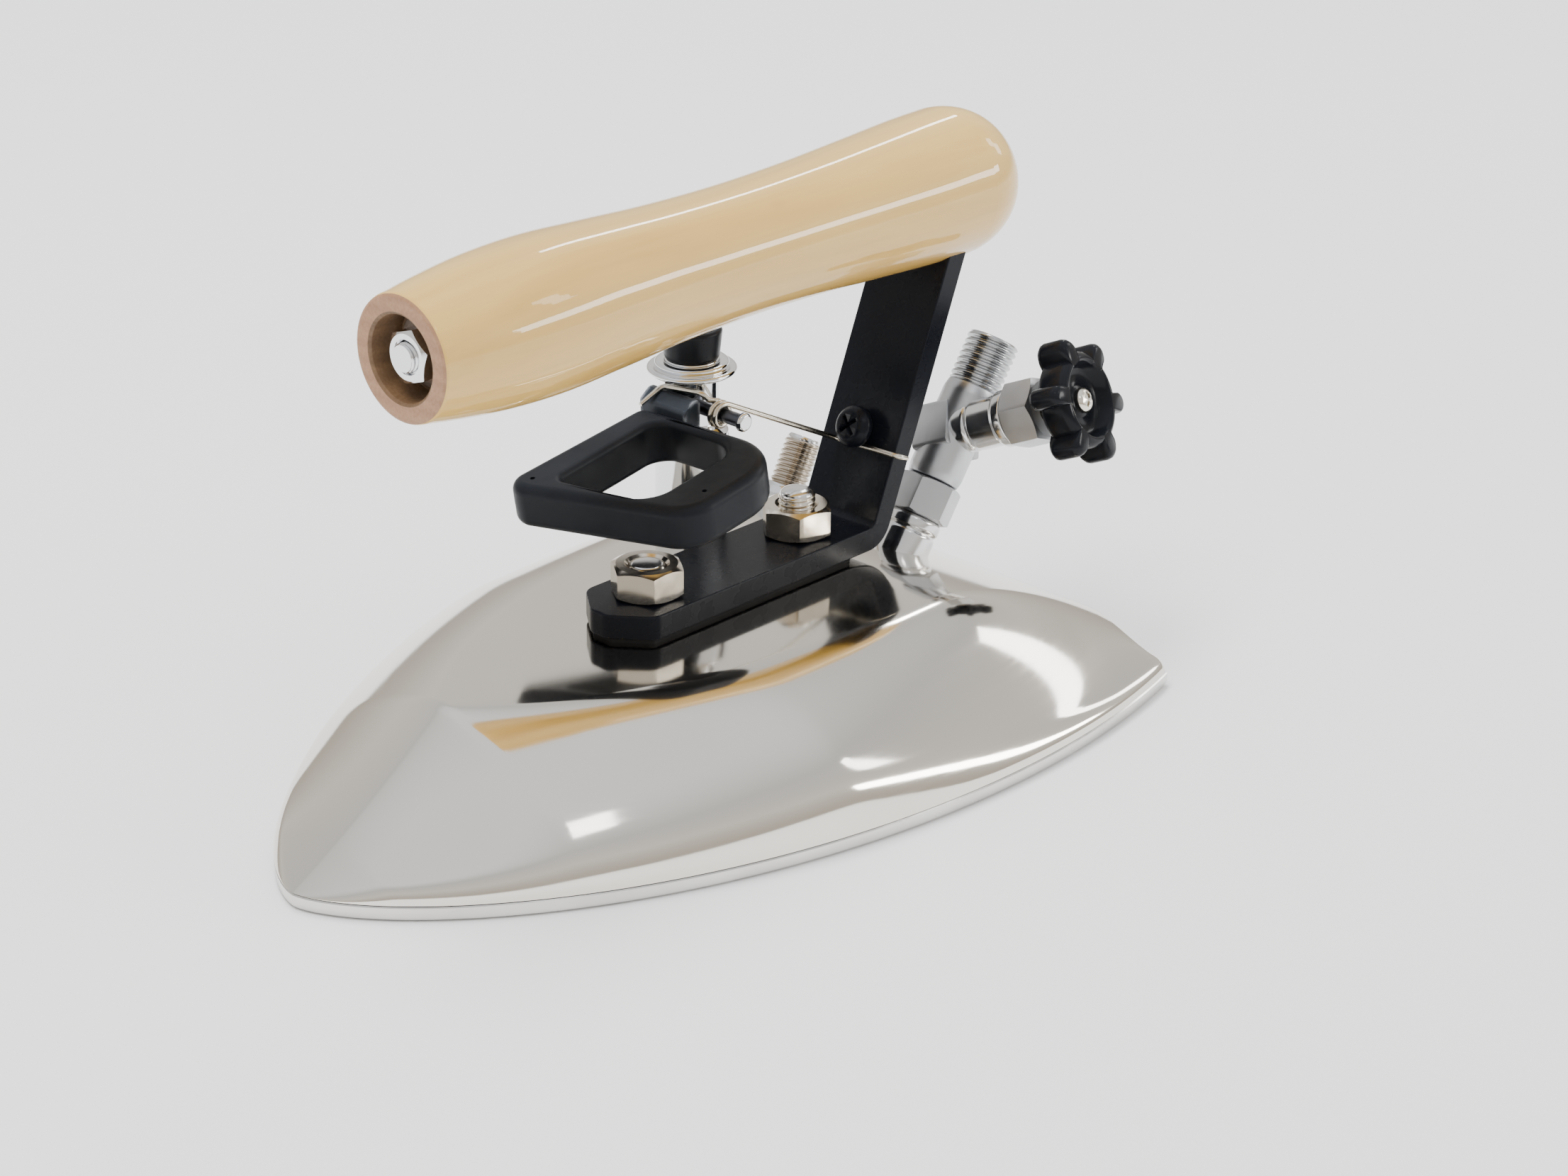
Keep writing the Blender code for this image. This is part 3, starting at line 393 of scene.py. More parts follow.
def swept(points, radius):
    """A round wire along a line, slimmer at its very ends."""
    tip_radius = radius * 0.75
    path = [Vector(point) for point in points]
    side = Vector((0.13, 0.97, 0.21))
    loops = []
    last = len(path) - 1
    for index, point in enumerate(path):
        ahead = (path[min(index + 1, last)] - path[max(index - 1, 0)]).normalized()
        side = (side - ahead * side.dot(ahead)).normalized()
        other = ahead.cross(side)
        size = tip_radius if index in (0, last) else radius
        loops.append([point + side * size * cos(a) + other * size * sin(a) for a in around(16)])
    return skinned(loops)


def placed(name, made):
    """A bmesh, already in the frame's metres, as an object of the scene."""
    mesh = bpy.data.meshes.new(name)
    made.to_mesh(mesh)
    made.free()
    piece = bpy.data.objects.new(name, mesh)
    bpy.context.scene.collection.objects.link(piece)
    return piece


def shaded(mesh, sharp=SHARP):
    mesh.shade_smooth()
    mesh.set_sharp_from_angle(angle=radians(sharp))


def add_piece(name, made, node, finishes, sharp=SHARP):
    """Turn a bmesh in millimetres into a piece that stands for a CAD node and rides with its body."""
    bmesh.ops.remove_doubles(made, verts=made.verts, dist=0.001)
    bmesh.ops.recalc_face_normals(made, faces=made.faces)
    made.transform(TO_FRAME)
    piece = placed(name, made)
    shaded(piece.data, sharp)
    for finish in finishes if isinstance(finishes, list) else [finishes]:
        piece.data.materials.append(finish)
    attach(piece, BODY_OF[node])
    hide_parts(node)
    return piece


def applied(piece):
    """Make the mesh what its modifiers show."""
    evaluated = piece.evaluated_get(bpy.context.evaluated_depsgraph_get())
    result = bpy.data.meshes.new_from_object(evaluated)
    piece.modifiers.clear()
    piece.data = result
    return piece


def carved(piece, tool):
    """Cut a bmesh in millimetres out of a piece; its large flat faces then set the shading."""
    bmesh.ops.recalc_face_normals(tool, faces=tool.faces)
    tool.transform(TO_FRAME)
    cutter = placed("tool", tool)
    change = piece.modifiers.new("carve", "BOOLEAN")
    change.operation = "DIFFERENCE"
    change.solver = "EXACT"
    change.object = cutter
    applied(piece)
    bpy.data.objects.remove(cutter)
    shaded(piece.data)
    change = piece.modifiers.new("normals", "WEIGHTED_NORMAL")
    change.keep_sharp = True
    return applied(piece)


def bevelled(piece, width, segments, angle=30.0):
    """Round the edges that bend more than angle."""
    edge = piece.modifiers.new("edge", "BEVEL")
    edge.width = width * MM
    edge.segments = segments
    edge.limit_method = "ANGLE"
    edge.angle_limit = radians(angle)
    edge.harden_normals = True
    return applied(piece)


# ---- finishes

class Finish:
    """A Principled material and short calls for the nodes that drive it."""

    def __init__(self, name, **values):
        self.material = bpy.data.materials.new(name)
        self.material.use_nodes = True
        self.tree = self.material.node_tree
        self.shader = self.tree.nodes["Principled BSDF"]
        for key, value in values.items():
            self.shader.inputs[key.replace("_", " ")].default_value = value
        self.place = self.node("ShaderNodeTexCoord").outputs["Object"]

    def node(self, kind, inputs=None, **settings):
        made = self.tree.nodes.new(kind)
        for key, value in settings.items():
            setattr(made, key, value)
        for key, value in (inputs or {}).items():
            if isinstance(value, bpy.types.NodeSocket):
                self.tree.links.new(value, made.inputs[key])
            else:
                made.inputs[key].default_value = value
        return made

    def drive(self, socket, value):
        self.tree.links.new(value, self.shader.inputs[socket])

    def stretched(self, scale):
        return self.node("ShaderNodeMapping", {"Vector": self.place, "Scale": scale}).outputs["Vector"]

    def noise(self, scale, detail=3.0, stretch=(1.0, 1.0, 1.0), distortion=0.0):
        inputs = {"Vector": self.stretched(stretch), "Scale": scale, "Detail": detail,
                  "Distortion": distortion}
        return self.node("ShaderNodeTexNoise", inputs).outputs["Fac"]

    def ranged(self, value, low, high, start=0.3, stop=0.7):
        inputs = {"Value": value, "From Min": start, "From Max": stop, "To Min": low, "To Max": high}
        return self.node("ShaderNodeMapRange", inputs).outputs["Result"]

    def mixed(self, share, first, second):
        made = self.node("ShaderNodeMix", data_type="RGBA")
        for socket, value in ((made.inputs[0], share), (made.inputs[6], first), (made.inputs[7], second)):
            if isinstance(value, bpy.types.NodeSocket):
                self.tree.links.new(value, socket)
            elif isinstance(value, tuple):
                socket.default_value = (*value, 1.0)
            else:
                socket.default_value = value
        return made.outputs[2]

    def bump(self, height, strength, distance):
        inputs = {"Height": height, "Strength": strength, "Distance": distance}
        self.drive("Normal", self.node("ShaderNodeBump", inputs).outputs["Normal"])

    def worn_and_highlit_edges(self, radius):
        """1 on a convex edge, 0 on a face: how far the bevelled normal leans from the true one."""
        soft = self.node("ShaderNodeBevel", {"Radius": radius}, samples=6).outputs["Normal"]
        true = self.node("ShaderNodeNewGeometry").outputs["Normal"]
        dot = self.node("ShaderNodeVectorMath", {0: soft, 1: true}, operation="DOT_PRODUCT")
        away = self.node("ShaderNodeMath", {0: 1.0, 1: dot.outputs["Value"]}, operation="SUBTRACT")
        return self.ranged(away.outputs[0], 0.0, 1.0, 0.02, 0.2)


def metal(name, bright, dull, smooth, rough, stretch=(1.0, 1.0, 1.0), grain=900.0, depth=0.03):
    """Bare or plated metal: cloudy colour, uneven polish and a fine grain."""
    made = Finish(name, Metallic=1.0)
    cloud = made.noise(45.0, 4.0)
    made.drive("Base Color", made.mixed(made.ranged(cloud, 0.0, 1.0), bright, dull))
    made.drive("Roughness", made.ranged(made.noise(160.0, 5.0), smooth, rough))
    if depth:
        made.bump(made.noise(grain, 2.0, stretch), depth, 0.00005)
    return made.material


def painted(name, dark, light, smooth, rough, bare_and_highlight=None, depth=0.15):
    """Dark paint or moulding; where a bare colour is given, its convex edges turn to it: partly paint worn
    through to bare steel, partly a painted highlight.
    """
    edge_band = 0.0016
    made = Finish(name, Specular_IOR_Level=0.13)
    cloud = made.ranged(made.noise(60.0, 5.0), 0.0, 1.0)
    color = made.mixed(cloud, dark, light)
    roughness = made.ranged(made.noise(240.0, 4.0), smooth, rough)
    if bare_and_highlight:
        # Convex edges take the bare colour: partly wear through the paint, partly a painted highlight.
        edge_wear_and_highlight = made.worn_and_highlit_edges(edge_band)
        broken = made.ranged(made.noise(420.0, 5.0), 0.0, 1.0, 0.42, 0.62)
        share = made.node("ShaderNodeMath", {0: edge_wear_and_highlight, 1: broken}, operation="MULTIPLY").outputs[0]
        color = made.mixed(share, color, bare_and_highlight)
    made.drive("Base Color", color)
    made.drive("Roughness", roughness)
    if depth:
        made.bump(made.noise(1400.0, 3.0), depth, 0.00006)
    return made.material


def shell_steel():
    """Mirror-polished stainless steel with a faint horizontal brushing."""
    made = Finish("shell_steel", Metallic=1.0)
    cloud = made.noise(14.0, 3.0)
    bright, dull = (0.80, 0.765, 0.70), (0.75, 0.71, 0.64)
    made.drive("Base Color", made.mixed(made.ranged(cloud, 0.0, 1.0), bright, dull))
    streaks = made.noise(1.0, 3.0, (14.0, 14.0, 1500.0))
    blotch = made.noise(30.0, 4.0)
    polish = made.mixed(0.5, streaks, blotch)
    made.drive("Roughness", made.ranged(polish, 0.055, 0.12))
    made.bump(streaks, 0.035, 0.00005)
    return made.material


def maple():
    """Pale hardwood under a thick glossy lacquer, its grain along the handle."""
    pale, deep = (0.78, 0.50, 0.125), (0.62, 0.36, 0.072)
    golden, vein, fleck = (0.80, 0.52, 0.145), (0.50, 0.30, 0.12), (0.46, 0.22, 0.07)
    made = Finish("maple", Coat_Weight=1.0, Coat_Roughness=0.035, Coat_IOR=1.5, Specular_IOR_Level=0.35)
    grain = made.noise(1.0, 6.0, (9.0, 90.0, 90.0), 1.2)
    fine = made.noise(1.0, 4.0, (40.0, 1500.0, 1500.0))
    blotch = made.noise(22.0, 4.0, (0.6, 1.0, 1.0), 0.6)
    color = made.mixed(made.ranged(grain, 0.0, 1.0), pale, deep)
    color = made.mixed(made.ranged(blotch, 0.0, 0.35, 0.42, 0.72), color, golden)
    color = made.mixed(made.ranged(fine, 0.0, 0.12), color, vein)
    cells = made.node("ShaderNodeTexVoronoi", {"Vector": made.stretched((0.6, 1.0, 1.0)), "Scale": 34.0})
    spot = made.ranged(cells.outputs["Distance"], 0.75, 0.0, 0.02, 0.11)
    made.drive("Base Color", made.mixed(spot, color, fleck))
    made.drive("Roughness", made.ranged(blotch, 0.32, 0.48))
    made.bump(fine, 0.04, 0.00005)
    return made.material


def end_grain(name, pale, deep):
    """Sawn end of the handle: rings and pores, with little lacquer."""
    made = Finish(name, Coat_Weight=0.15, Coat_Roughness=0.3)
    pores = made.noise(1500.0, 3.0)
    rings = made.node("ShaderNodeTexWave", {"Vector": made.stretched((0.0, 1.0, 1.0)), "Scale": 90.0,
                                            "Distortion": 3.0}, wave_type="RINGS").outputs["Fac"]
    color = made.mixed(made.ranged(rings, 0.0, 0.5, 0.0, 1.0), pale, deep)
    made.drive("Base Color", made.mixed(made.ranged(pores, 0.0, 0.5), color, deep))
    made.drive("Roughness", made.ranged(pores, 0.5, 0.75))
    made.bump(pores, 0.25, 0.0001)
    return made.material


SHELL = shell_steel()
PLATE = metal("sole_steel", (0.78, 0.77, 0.745), (0.66, 0.645, 0.62), 0.16, 0.28,
              stretch=(1.0, 1.0, 12.0), grain=500.0)
CHROME = metal("chrome_plate", (0.83, 0.84, 0.85), (0.76, 0.77, 0.79), 0.05, 0.12)
NICKEL = metal("nickel_plate", (0.76, 0.71, 0.62), (0.62, 0.56, 0.47), 0.10, 0.22, depth=0.06)
CAST = metal("cast_silver", (0.62, 0.63, 0.64), (0.46, 0.47, 0.49), 0.30, 0.46, grain=700.0, depth=0.3)
THREAD = metal("thread_steel", (0.52, 0.53, 0.54), (0.36, 0.37, 0.38), 0.18, 0.30)
BRIGHT = metal("turned_stainless", (0.78, 0.78, 0.78), (0.68, 0.68, 0.68), 0.12, 0.22,
               stretch=(1.0, 1.0, 6.0))
DRAIN = metal("brown_nickel", (0.56, 0.50, 0.42), (0.44, 0.38, 0.31), 0.16, 0.30, depth=0.08)
WIRE = metal("spring_wire", (0.70, 0.66, 0.57), (0.62, 0.57, 0.48), 0.20, 0.28, depth=0.0)
# Dark metal for the pin's shank: a painted dark reflection, while its head stays chrome.
PIN_DARK_REFLECTION = metal("pin_painted_dark_reflection", (0.13, 0.14, 0.165), (0.06, 0.065, 0.08), 0.26, 0.40)
BRASS = metal("machined_brass", (0.78, 0.58, 0.27), (0.62, 0.44, 0.19), 0.18, 0.32)
CHEST = metal("chest_casting", (0.50, 0.50, 0.51), (0.36, 0.36, 0.37), 0.45, 0.65, grain=500.0, depth=0.5)
BLACK_PAINT = painted("black_paint", (0.005, 0.006, 0.0095), (0.0065, 0.0078, 0.0115), 0.25, 0.30, depth=0.0)
RUBBER = painted("moulded_rubber", (0.007, 0.008, 0.011), (0.012, 0.014, 0.018), 0.34, 0.48)
GASKET = painted("gasket_rubber", (0.012, 0.012, 0.013), (0.020, 0.020, 0.021), 0.62, 0.80, depth=0.5)
CAP = painted("cap_plastic", (0.007, 0.008, 0.010), (0.011, 0.012, 0.015), 0.26, 0.36)
GLOSS = painted("gloss_moulding", (0.005, 0.006, 0.008), (0.009, 0.010, 0.013), 0.14, 0.22, depth=0.04)
# The lever's edges lighten to bluish steel: partly paint worn through, partly a painted highlight along
# them.
WORN_AND_HIGHLIT_PAINT = painted("lever_paint_worn_and_highlit", (0.018, 0.022, 0.030), (0.05, 0.06, 0.075), 0.28, 0.45,
               bare_and_highlight=(0.42, 0.46, 0.52))
PACKING = painted("braided_packing", (0.66, 0.63, 0.56), (0.76, 0.74, 0.68), 0.7, 0.9, depth=0.6)
MAPLE = maple()
END_GRAIN = end_grain("end_grain", (0.42, 0.235, 0.13), (0.30, 0.155, 0.08))
# The counterbore's wall gets a darker copy of the end grain: painted shade in the recess.
BORE_PAINTED_SHADE = end_grain("bore_painted_shade", (0.20, 0.115, 0.055), (0.11, 0.06, 0.028))


# ---- body

def half_width(x):
    if x < WIDEST_X:
        return HALF_WIDTH * (1 - ((WIDEST_X - x) / WIDEST_X) ** 2) ** TOE_POWER
    reach = (LENGTH - WIDEST_X) / sqrt(1 - (HEEL_HALF_WIDTH / HALF_WIDTH) ** 2)
    return HALF_WIDTH * sqrt(1 - ((x - WIDEST_X) / reach) ** 2)


def flat_half_width(x):
    """Half width of the flat on top; it is a crease along the prow."""
    if x <= PROW_X:
        return 0.0
    return FLAT_HALF_WIDTH * (1 - exp(-((x - PROW_X) / FLAT_HALF_WIDTH) ** 0.95))


def crown(x):
    """Height of the top along the centre line."""
    if x < PROW_X:
        share = x / PROW_X
        return RIM_Z + (TOP_Z - RIM_Z) * (0.8 * share + 0.2 * share ** 2)
    fall = max(x - HEEL_DROP_X, 0.0) / (LENGTH - HEEL_DROP_X)
    return TOP_Z - HEEL_DROP * fall ** 1.6


def flank(x, share):
    """Point of the flank: share 0 on the flat's edge, 1 on the rim; a rolled lip ends it."""
    angle = share * pi / 2
    power = FLANK_POWER + FLANK_POWER_GAIN * min(x / FLANK_POWER_TO, 1.0)
    hollow = HOLLOW * min(max((x - HOLLOW_FROM) / HOLLOW_LENGTH, 0.0), 1.0)
    out = (1 - hollow) * sin(angle) ** (2 / power) + hollow * share
    up = (1 - hollow) * max(cos(angle), 0.0) ** (2 / power) + hollow * cos(angle) ** 2
    top = crown(x)
    roll = min(LIP_ROLL, 0.5 * (top - RIM_Z))
    flat = flat_half_width(x)
    reach = half_width(x)
    y = flat + (reach - flat) * out
    into = min(max((y - (reach - LIP_ROLL)) / LIP_ROLL, 0.0), 1.0)
    return y, RIM_Z + roll * sqrt(1 - into ** 2) + (top - RIM_Z - roll) * up


def shell_rows(stations, steps):
    """Rows of surface points from the near rim over the top to the far rim."""
    rows = []
    for x in stations:
        side = [(0.0, crown(x)), (flat_half_width(x) * 0.5, crown(x))]
        for step in range(steps + 1):
            share = step / steps
            side.append(flank(x, 1 - (1 - share) ** 1.35))
        side.append((half_width(x), RIM_Z))
        into = min(max((x - (LENGTH - HEEL_ROUND)) / HEEL_ROUND, 0.0), 1.0)
        drop = HEEL_ROUND * (1 - sqrt(1 - into ** 2))
        side = [(y * (1 - 0.6 * drop / HALF_WIDTH), max(z - drop, RIM_Z)) for y, z in side]
        near = [(x, -y, z) for y, z in reversed(side)]
        rows.append(near + [(x, y, z) for y, z in side[1:]])
    rows.append([(x, y, RIM_Z) for x, y, z in rows[-1]])
    return rows


def crowded(step, count):
    """Distance from the toe of one of count + 1 stations, which crowd towards the toe."""
    return LENGTH * (step / count) ** 1.5


def plan_scales(inset):
    """How much the plan shrinks lengthways and across when it is drawn in by inset all round."""
    middle = LENGTH / 2
    return (middle - inset) / middle, (HALF_WIDTH - inset) / HALF_WIDTH


def shell_stations():
    count = 120
    stations = [crowded(step, count) for step in range(count + 1)]
    stations = [x for x in stations if x < LENGTH - HEEL_ROUND - 0.3]
    return stations + [LENGTH - HEEL_ROUND * (1 - sin(step * pi / 16)) for step in range(9)]


def nested(rows, inset):
    """The same surface drawn in by inset all round."""
    middle = LENGTH / 2
    along, across = plan_scales(inset)
    upward = (TOP_Z - inset - RIM_Z) / (TOP_Z - RIM_Z)
    return [[(middle + (x - middle) * along, y * across, RIM_Z + (z - RIM_Z) * upward) for x, y, z in row]
            for row in rows]


def surface(made, rows):
    """Add the grid of faces through the rows and return its open edge, in order."""
    grid = [[made.verts.new(point) for point in row] for row in rows]
    for low, high in zip(grid, grid[1:]):
        for index in range(len(low) - 1):
            made.faces.new((low[index], low[index + 1], high[index + 1], high[index]))
    near = [row[0] for row in grid]
    far = [row[-1] for row in grid]
    return near[:-1] + grid[-1] + far[-2::-1]


def build_shell():
    made = bmesh.new()
    rows = shell_rows(shell_stations(), 30)
    outer = surface(made, rows)
    inner = surface(made, nested(rows, SHELL_WALL))
    count = len(outer)
    for index in range(count):
        after = (index + 1) % count
        made.faces.new((outer[index], outer[after], inner[after], inner[index]))
    bmesh.ops.remove_doubles(made, verts=made.verts, dist=0.001)
    bmesh.ops.dissolve_degenerate(made, dist=0.0005, edges=made.edges[:])
    add_piece("shell", made, "body_shell", SHELL, sharp=60.0)


def plan_outline(inset):
    """The sole's outline, from the toe along the near side, across the heel and back."""
    count = 110
    stations = [crowded(step, count) for step in range(1, count + 1)]
    near = [(x, -half_width(x)) for x in stations]
    whole = [(0.0, 0.0)] + near + [(x, -y) for x, y in reversed(near)]
    middle = LENGTH / 2
    along, across = plan_scales(inset)
    return [(middle + (x - middle) * along, y * across) for x, y in whole]


def build_sole():
    outer_row, inner_row, stagger = 0.62, 0.28, 10.0
    places = []
    for x in (40.0, 60.0, 80.0, 100.0, 120.0, 140.0):
        for side in (-1, 1):
            places.append((x, side * half_width(x) * outer_row))
            places.append((x + stagger, side * half_width(x + stagger) * inner_row))
    holes = [circle(STEAM_HOLE_R, 20, place) for place in places]
    levels = [(plan_outline(SOLE_CHAMFER), 0.0), (plan_outline(SOLE_CHAMFER * 0.3), SOLE_CHAMFER * 0.3),
              (plan_outline(0.0), SOLE_CHAMFER), (plan_outline(0.0), SOLE_THICKNESS - SOLE_TOP_CHAMFER),
              (plan_outline(SOLE_TOP_CHAMFER), SOLE_THICKNESS)]
    add_piece("sole", stacked(levels, holes), "sole_plate", PLATE)


# ---- bracket, studs and nuts

# Both stand an outline in x and z upright: its heights run towards -y in the first and +y in the second.
UPRIGHT = Matrix(((1, 0, 0, 0), (0, 0, -1, 0), (0, 1, 0, 0), (0, 0, 0, 1)))
UPRIGHT_FAR = Matrix(((1, 0, 0, 0), (0, 0, 1, 0), (0, 1, 0, 0), (0, 0, 0, 1)))


def lean_point(along, out):
    """Point of the upright: along its front face from the plate, and out from that face."""
    x = BEND_X + along * sin(LEAN) - out * cos(LEAN)
    z = PLATE_TOP_Z + along * cos(LEAN) + out * sin(LEAN)
    return x, z


def build_bracket():
    thickness = PLATE_TOP_Z - PLATE_BOTTOM_Z
    length = (UPRIGHT_TOP_Z - PLATE_TOP_Z) / cos(LEAN)
    rear_x = BEND_X + thickness * tan(radians(45) - LEAN / 2)
    corners = [(PLATE_NOSE_X, PLATE_BOTTOM_Z, 0.0), (rear_x, PLATE_BOTTOM_Z, 7.0)]
    corners.append((*lean_point(length, -thickness), 0.0))
    corners.append((*lean_point(length, 0.0), 0.0))
    corners += [(BEND_X, PLATE_TOP_Z, 2.4), (PLATE_NOSE_X, PLATE_TOP_Z, 0.0)]
    strip = prism(rounded(corners, 14), -STRIP_HALF_WIDTH, STRIP_HALF_WIDTH, matrix=UPRIGHT)
    bracket = add_piece("bracket", strip, "handle_bracket", BLACK_PAINT)
    for side in (-1, 1):
        nose = rounded([(PLATE_NOSE_X, 0.0, 0), (PLATE_NOSE_X, side * 2.2, 3.5),
                        (PLATE_NOSE_X + 6.4, side * STRIP_HALF_WIDTH, 4.0),
                        (PLATE_NOSE_X + 14.0, side * STRIP_HALF_WIDTH, 0)], 8)[:-1]
        outside = side * (STRIP_HALF_WIDTH + 3)
        corner = nose + [(nose[-1][0], outside), (PLATE_NOSE_X - 2, outside), (PLATE_NOSE_X - 2, 0.0)]
        carved(bracket, prism(corner, PLATE_BOTTOM_Z - 2, PLATE_TOP_Z + 2))
    bevelled(bracket, 0.9, 4)


def build_gasket():
    front = PLATE_NOSE_X + 1.2
    half = STRIP_HALF_WIDTH - 0.8
    corners = [(front, -2.6, 0.5), (front + 5.6, -half, 1.0), (BEND_X - 6.0, -half, 1.0),
               (BEND_X - 6.0, half, 1.0), (front + 5.6, half, 1.0), (front, 2.6, 0.5)]
    add_piece("gasket", prism(rounded(corners, 5), TOP_Z, PLATE_BOTTOM_Z), "bracket_gasket", GASKET)


def build_studs_and_nuts():
    nut_z = PLATE_TOP_Z + 0.05
    for name, x, reach, turn in (("front", FRONT_STUD_X, -0.25, -34.0),
                                 ("rear", REAR_STUD_X, 2.4, -42.0)):
        tip = nut_z + NUT_HEIGHT + reach
        place = Matrix.Translation((x, 0.0, 0.0))
        add_piece(name + "_stud_thread", threaded(STUD_R, nut_z - 1.0, tip, 1.25, 0.42, matrix=place),
                  name + "_stud", NICKEL)
        seat = Matrix.Translation((x, 0.0, nut_z))
        nut = hex_piece(NUT_FLATS, NUT_HEIGHT, STUD_R + 0.05, radians(turn), matrix=seat)
        add_piece(name + "_hex_nut", nut, name + "_nut", NICKEL, sharp=22.0)
    top = nut_z + NUT_HEIGHT
    flush = [(0.0, top - 1.4), (3.7, top - 1.4), (3.6, top - 0.5), (3.1, top - 0.1), (0.0, top)]
    place = Matrix.Translation((FRONT_STUD_X, 0.0, 0.0))
    add_piece("front_stud_end", turned(flush, 0.3, matrix=place), "front_stud", BRIGHT, sharp=60.0)
    dome = [(0.0, top + 1.6), (3.7, top + 1.6), (3.7, top + 2.5), (3.1, top + 3.1), (1.8, top + 3.5),
            (0.0, top + 3.6)]
    place = Matrix.Translation((REAR_STUD_X, 0.0, 0.0))
    add_piece("rear_stud_end", turned(dome, 0.5, matrix=place), "rear_stud", BRIGHT, sharp=60.0)


def screw_matrix():
    """Frame of the spring's screw: origin on the upright's front face, +Z out of it."""
    x, z = lean_point((SCREW_Z - PLATE_TOP_Z) / cos(LEAN), 0.0)
    return frame_matrix((x, 0.0, z), (-cos(LEAN), 0.0, sin(LEAN)))


def build_spring_screw():
    profile = [(0.0, -5.0), (2.5, -5.0), (2.5, 2.1), (4.6, 2.1), (4.6, 3.7), (3.4, 5.0), (0.0, 5.4)]
    made = turned(profile, 0.5, matrix=screw_matrix())
    screw = add_piece("spring_anchor_screw", made, "spring_screw", BLACK_PAINT)
    for turn in (0.0, pi / 2):
        recess = Matrix.Rotation(turn + pi / 4, 4, "Z")
        carved(screw, box((-2.4, -0.45, 3.9), (2.4, 0.45, 7.0), screw_matrix() @ recess))


# ---- handle

def handle_profile():
    """Radius of the grip by distance from its front face, with a rounded rear end."""
    swell = [(1.4, 13.1), (10.0, 14.4), (22.0, 15.7), (36.0, 16.1), (52.0, 15.3), (70.0, 14.3),
             (90.0, 13.9), (110.0, 14.3), (128.0, 15.2), (144.0, 16.1), (SWELL_END, SWELL_END_R)]
    line = [(s, radius) for s, radius in smooth_line(swell, 6)]
    along = HANDLE_LENGTH - SWELL_END
    across = SWELL_END_R - END_FLAT_R
    for step in range(1, 17):
        angle = step / 16 * pi / 2
        line.append((SWELL_END + along * sin(angle), END_FLAT_R + across * cos(angle)))
    return [(0.0, 12.2), (0.3, 12.75), (0.8, 13.0)] + line


def build_handle():
    along_x = frame_matrix((HANDLE_X, 0.0, HANDLE_Z), (1, 0, 0))
    outer = [(radius, s) for s, radius in handle_profile()]
    profile = outer + [(0.0, HANDLE_LENGTH), (0.0, COUNTERBORE_DEPTH), (COUNTERBORE_R, COUNTERBORE_DEPTH),
                       (COUNTERBORE_R, 0.5), (COUNTERBORE_R + 0.5, 0.0)]
    handle = add_piece("handle_grip", turned(profile, 0.12, closed=True, matrix=along_x), "wooden_handle",
                       [MAPLE, END_GRAIN, BORE_PAINTED_SHADE])
    front = in_frame(HANDLE_X, 0.0, 0.0)[0]
    # The counterbore's faces take the darker wood as painted shade; the front face takes the end grain.
    for face in handle.data.polygons:
        centre = face.center
        out = sqrt(centre.y ** 2 + (centre.z - HANDLE_Z * MM) ** 2) / MM
        if centre.x < front + (COUNTERBORE_DEPTH + 1.0) * MM and out < COUNTERBORE_R + 0.6:
            face.material_index = 2
        elif centre.x < front + 0.35 * MM:
            face.material_index = 1


def build_handle_rod():
    along_x = frame_matrix((HANDLE_X, 0.0, HANDLE_Z), (1, 0, 0))
    add_piece("rod_thread", threaded(ROD_R, 0.5, 8.2, 1.0, 0.35, matrix=along_x), "handle_rod", CHROME)
    seat = frame_matrix((HANDLE_X + 1.5, 0.0, HANDLE_Z), (1, 0, 0))
    nut = hex_piece(ROD_NUT_FLATS, 5.2, ROD_R + 0.05, radians(12), matrix=seat)
    add_piece("rod_nut", nut, "handle_nut", CHROME, sharp=22.0)
    washer = [(ROD_R, 6.7), (7.4, 6.7), (7.4, 7.7), (ROD_R, 7.7)]
    add_piece("rod_washer", turned(washer, 0.25, closed=True, matrix=along_x), "handle_washer", CHROME)


# ---- steam valve and lever

def tower_matrix():
    return Matrix.Translation((*TOWER, 0.0))


def build_tower():
    profile = [(0.0, 26.0), (TOWER_R, 26.0), (TOWER_R, 33.0), (TOWER_R - 0.5, 33.6), (TOWER_R, 34.2),
               (TOWER_R, NECK_Z - 1.6), (NECK_R + 0.6, NECK_Z - 0.2), (NECK_R, NECK_Z + 0.8),
               (NECK_R, TOWER_TOP_Z), (0.0, TOWER_TOP_Z)]
    tower = add_piece("valve_column", turned(profile, 0.3, matrix=tower_matrix()), "valve_tower", CHROME)
    slot_low = (TOWER[0] - 12.0, TOWER[1] - 3.75, 60.4)
    carved(tower, box(slot_low, (TOWER[0] + 4.6, TOWER[1] + 3.75, 68.9)))
    collar = [(NECK_R, 70.5), (8.6, 70.5), (9.7, 71.0), (9.8, 71.6), (9.3, 72.1), (8.3, 72.0), (7.9, 71.9),
              (7.9, 72.4), (8.1, 72.9), (7.6, 73.4), (NECK_R, 73.4)]
    add_piece("gland_collar", turned(collar, 0.5, closed=True, matrix=tower_matrix()), "gland_ring", CHROME)
    cap = [(0.0, 73.8), (5.7, 73.8), (6.0, 74.5), (6.6, 80.2), (5.9, 80.8), (0.0, 80.8)]
    add_piece("column_cap", turned(cap, 0.5, matrix=tower_matrix()), "tower_cap", CAP)


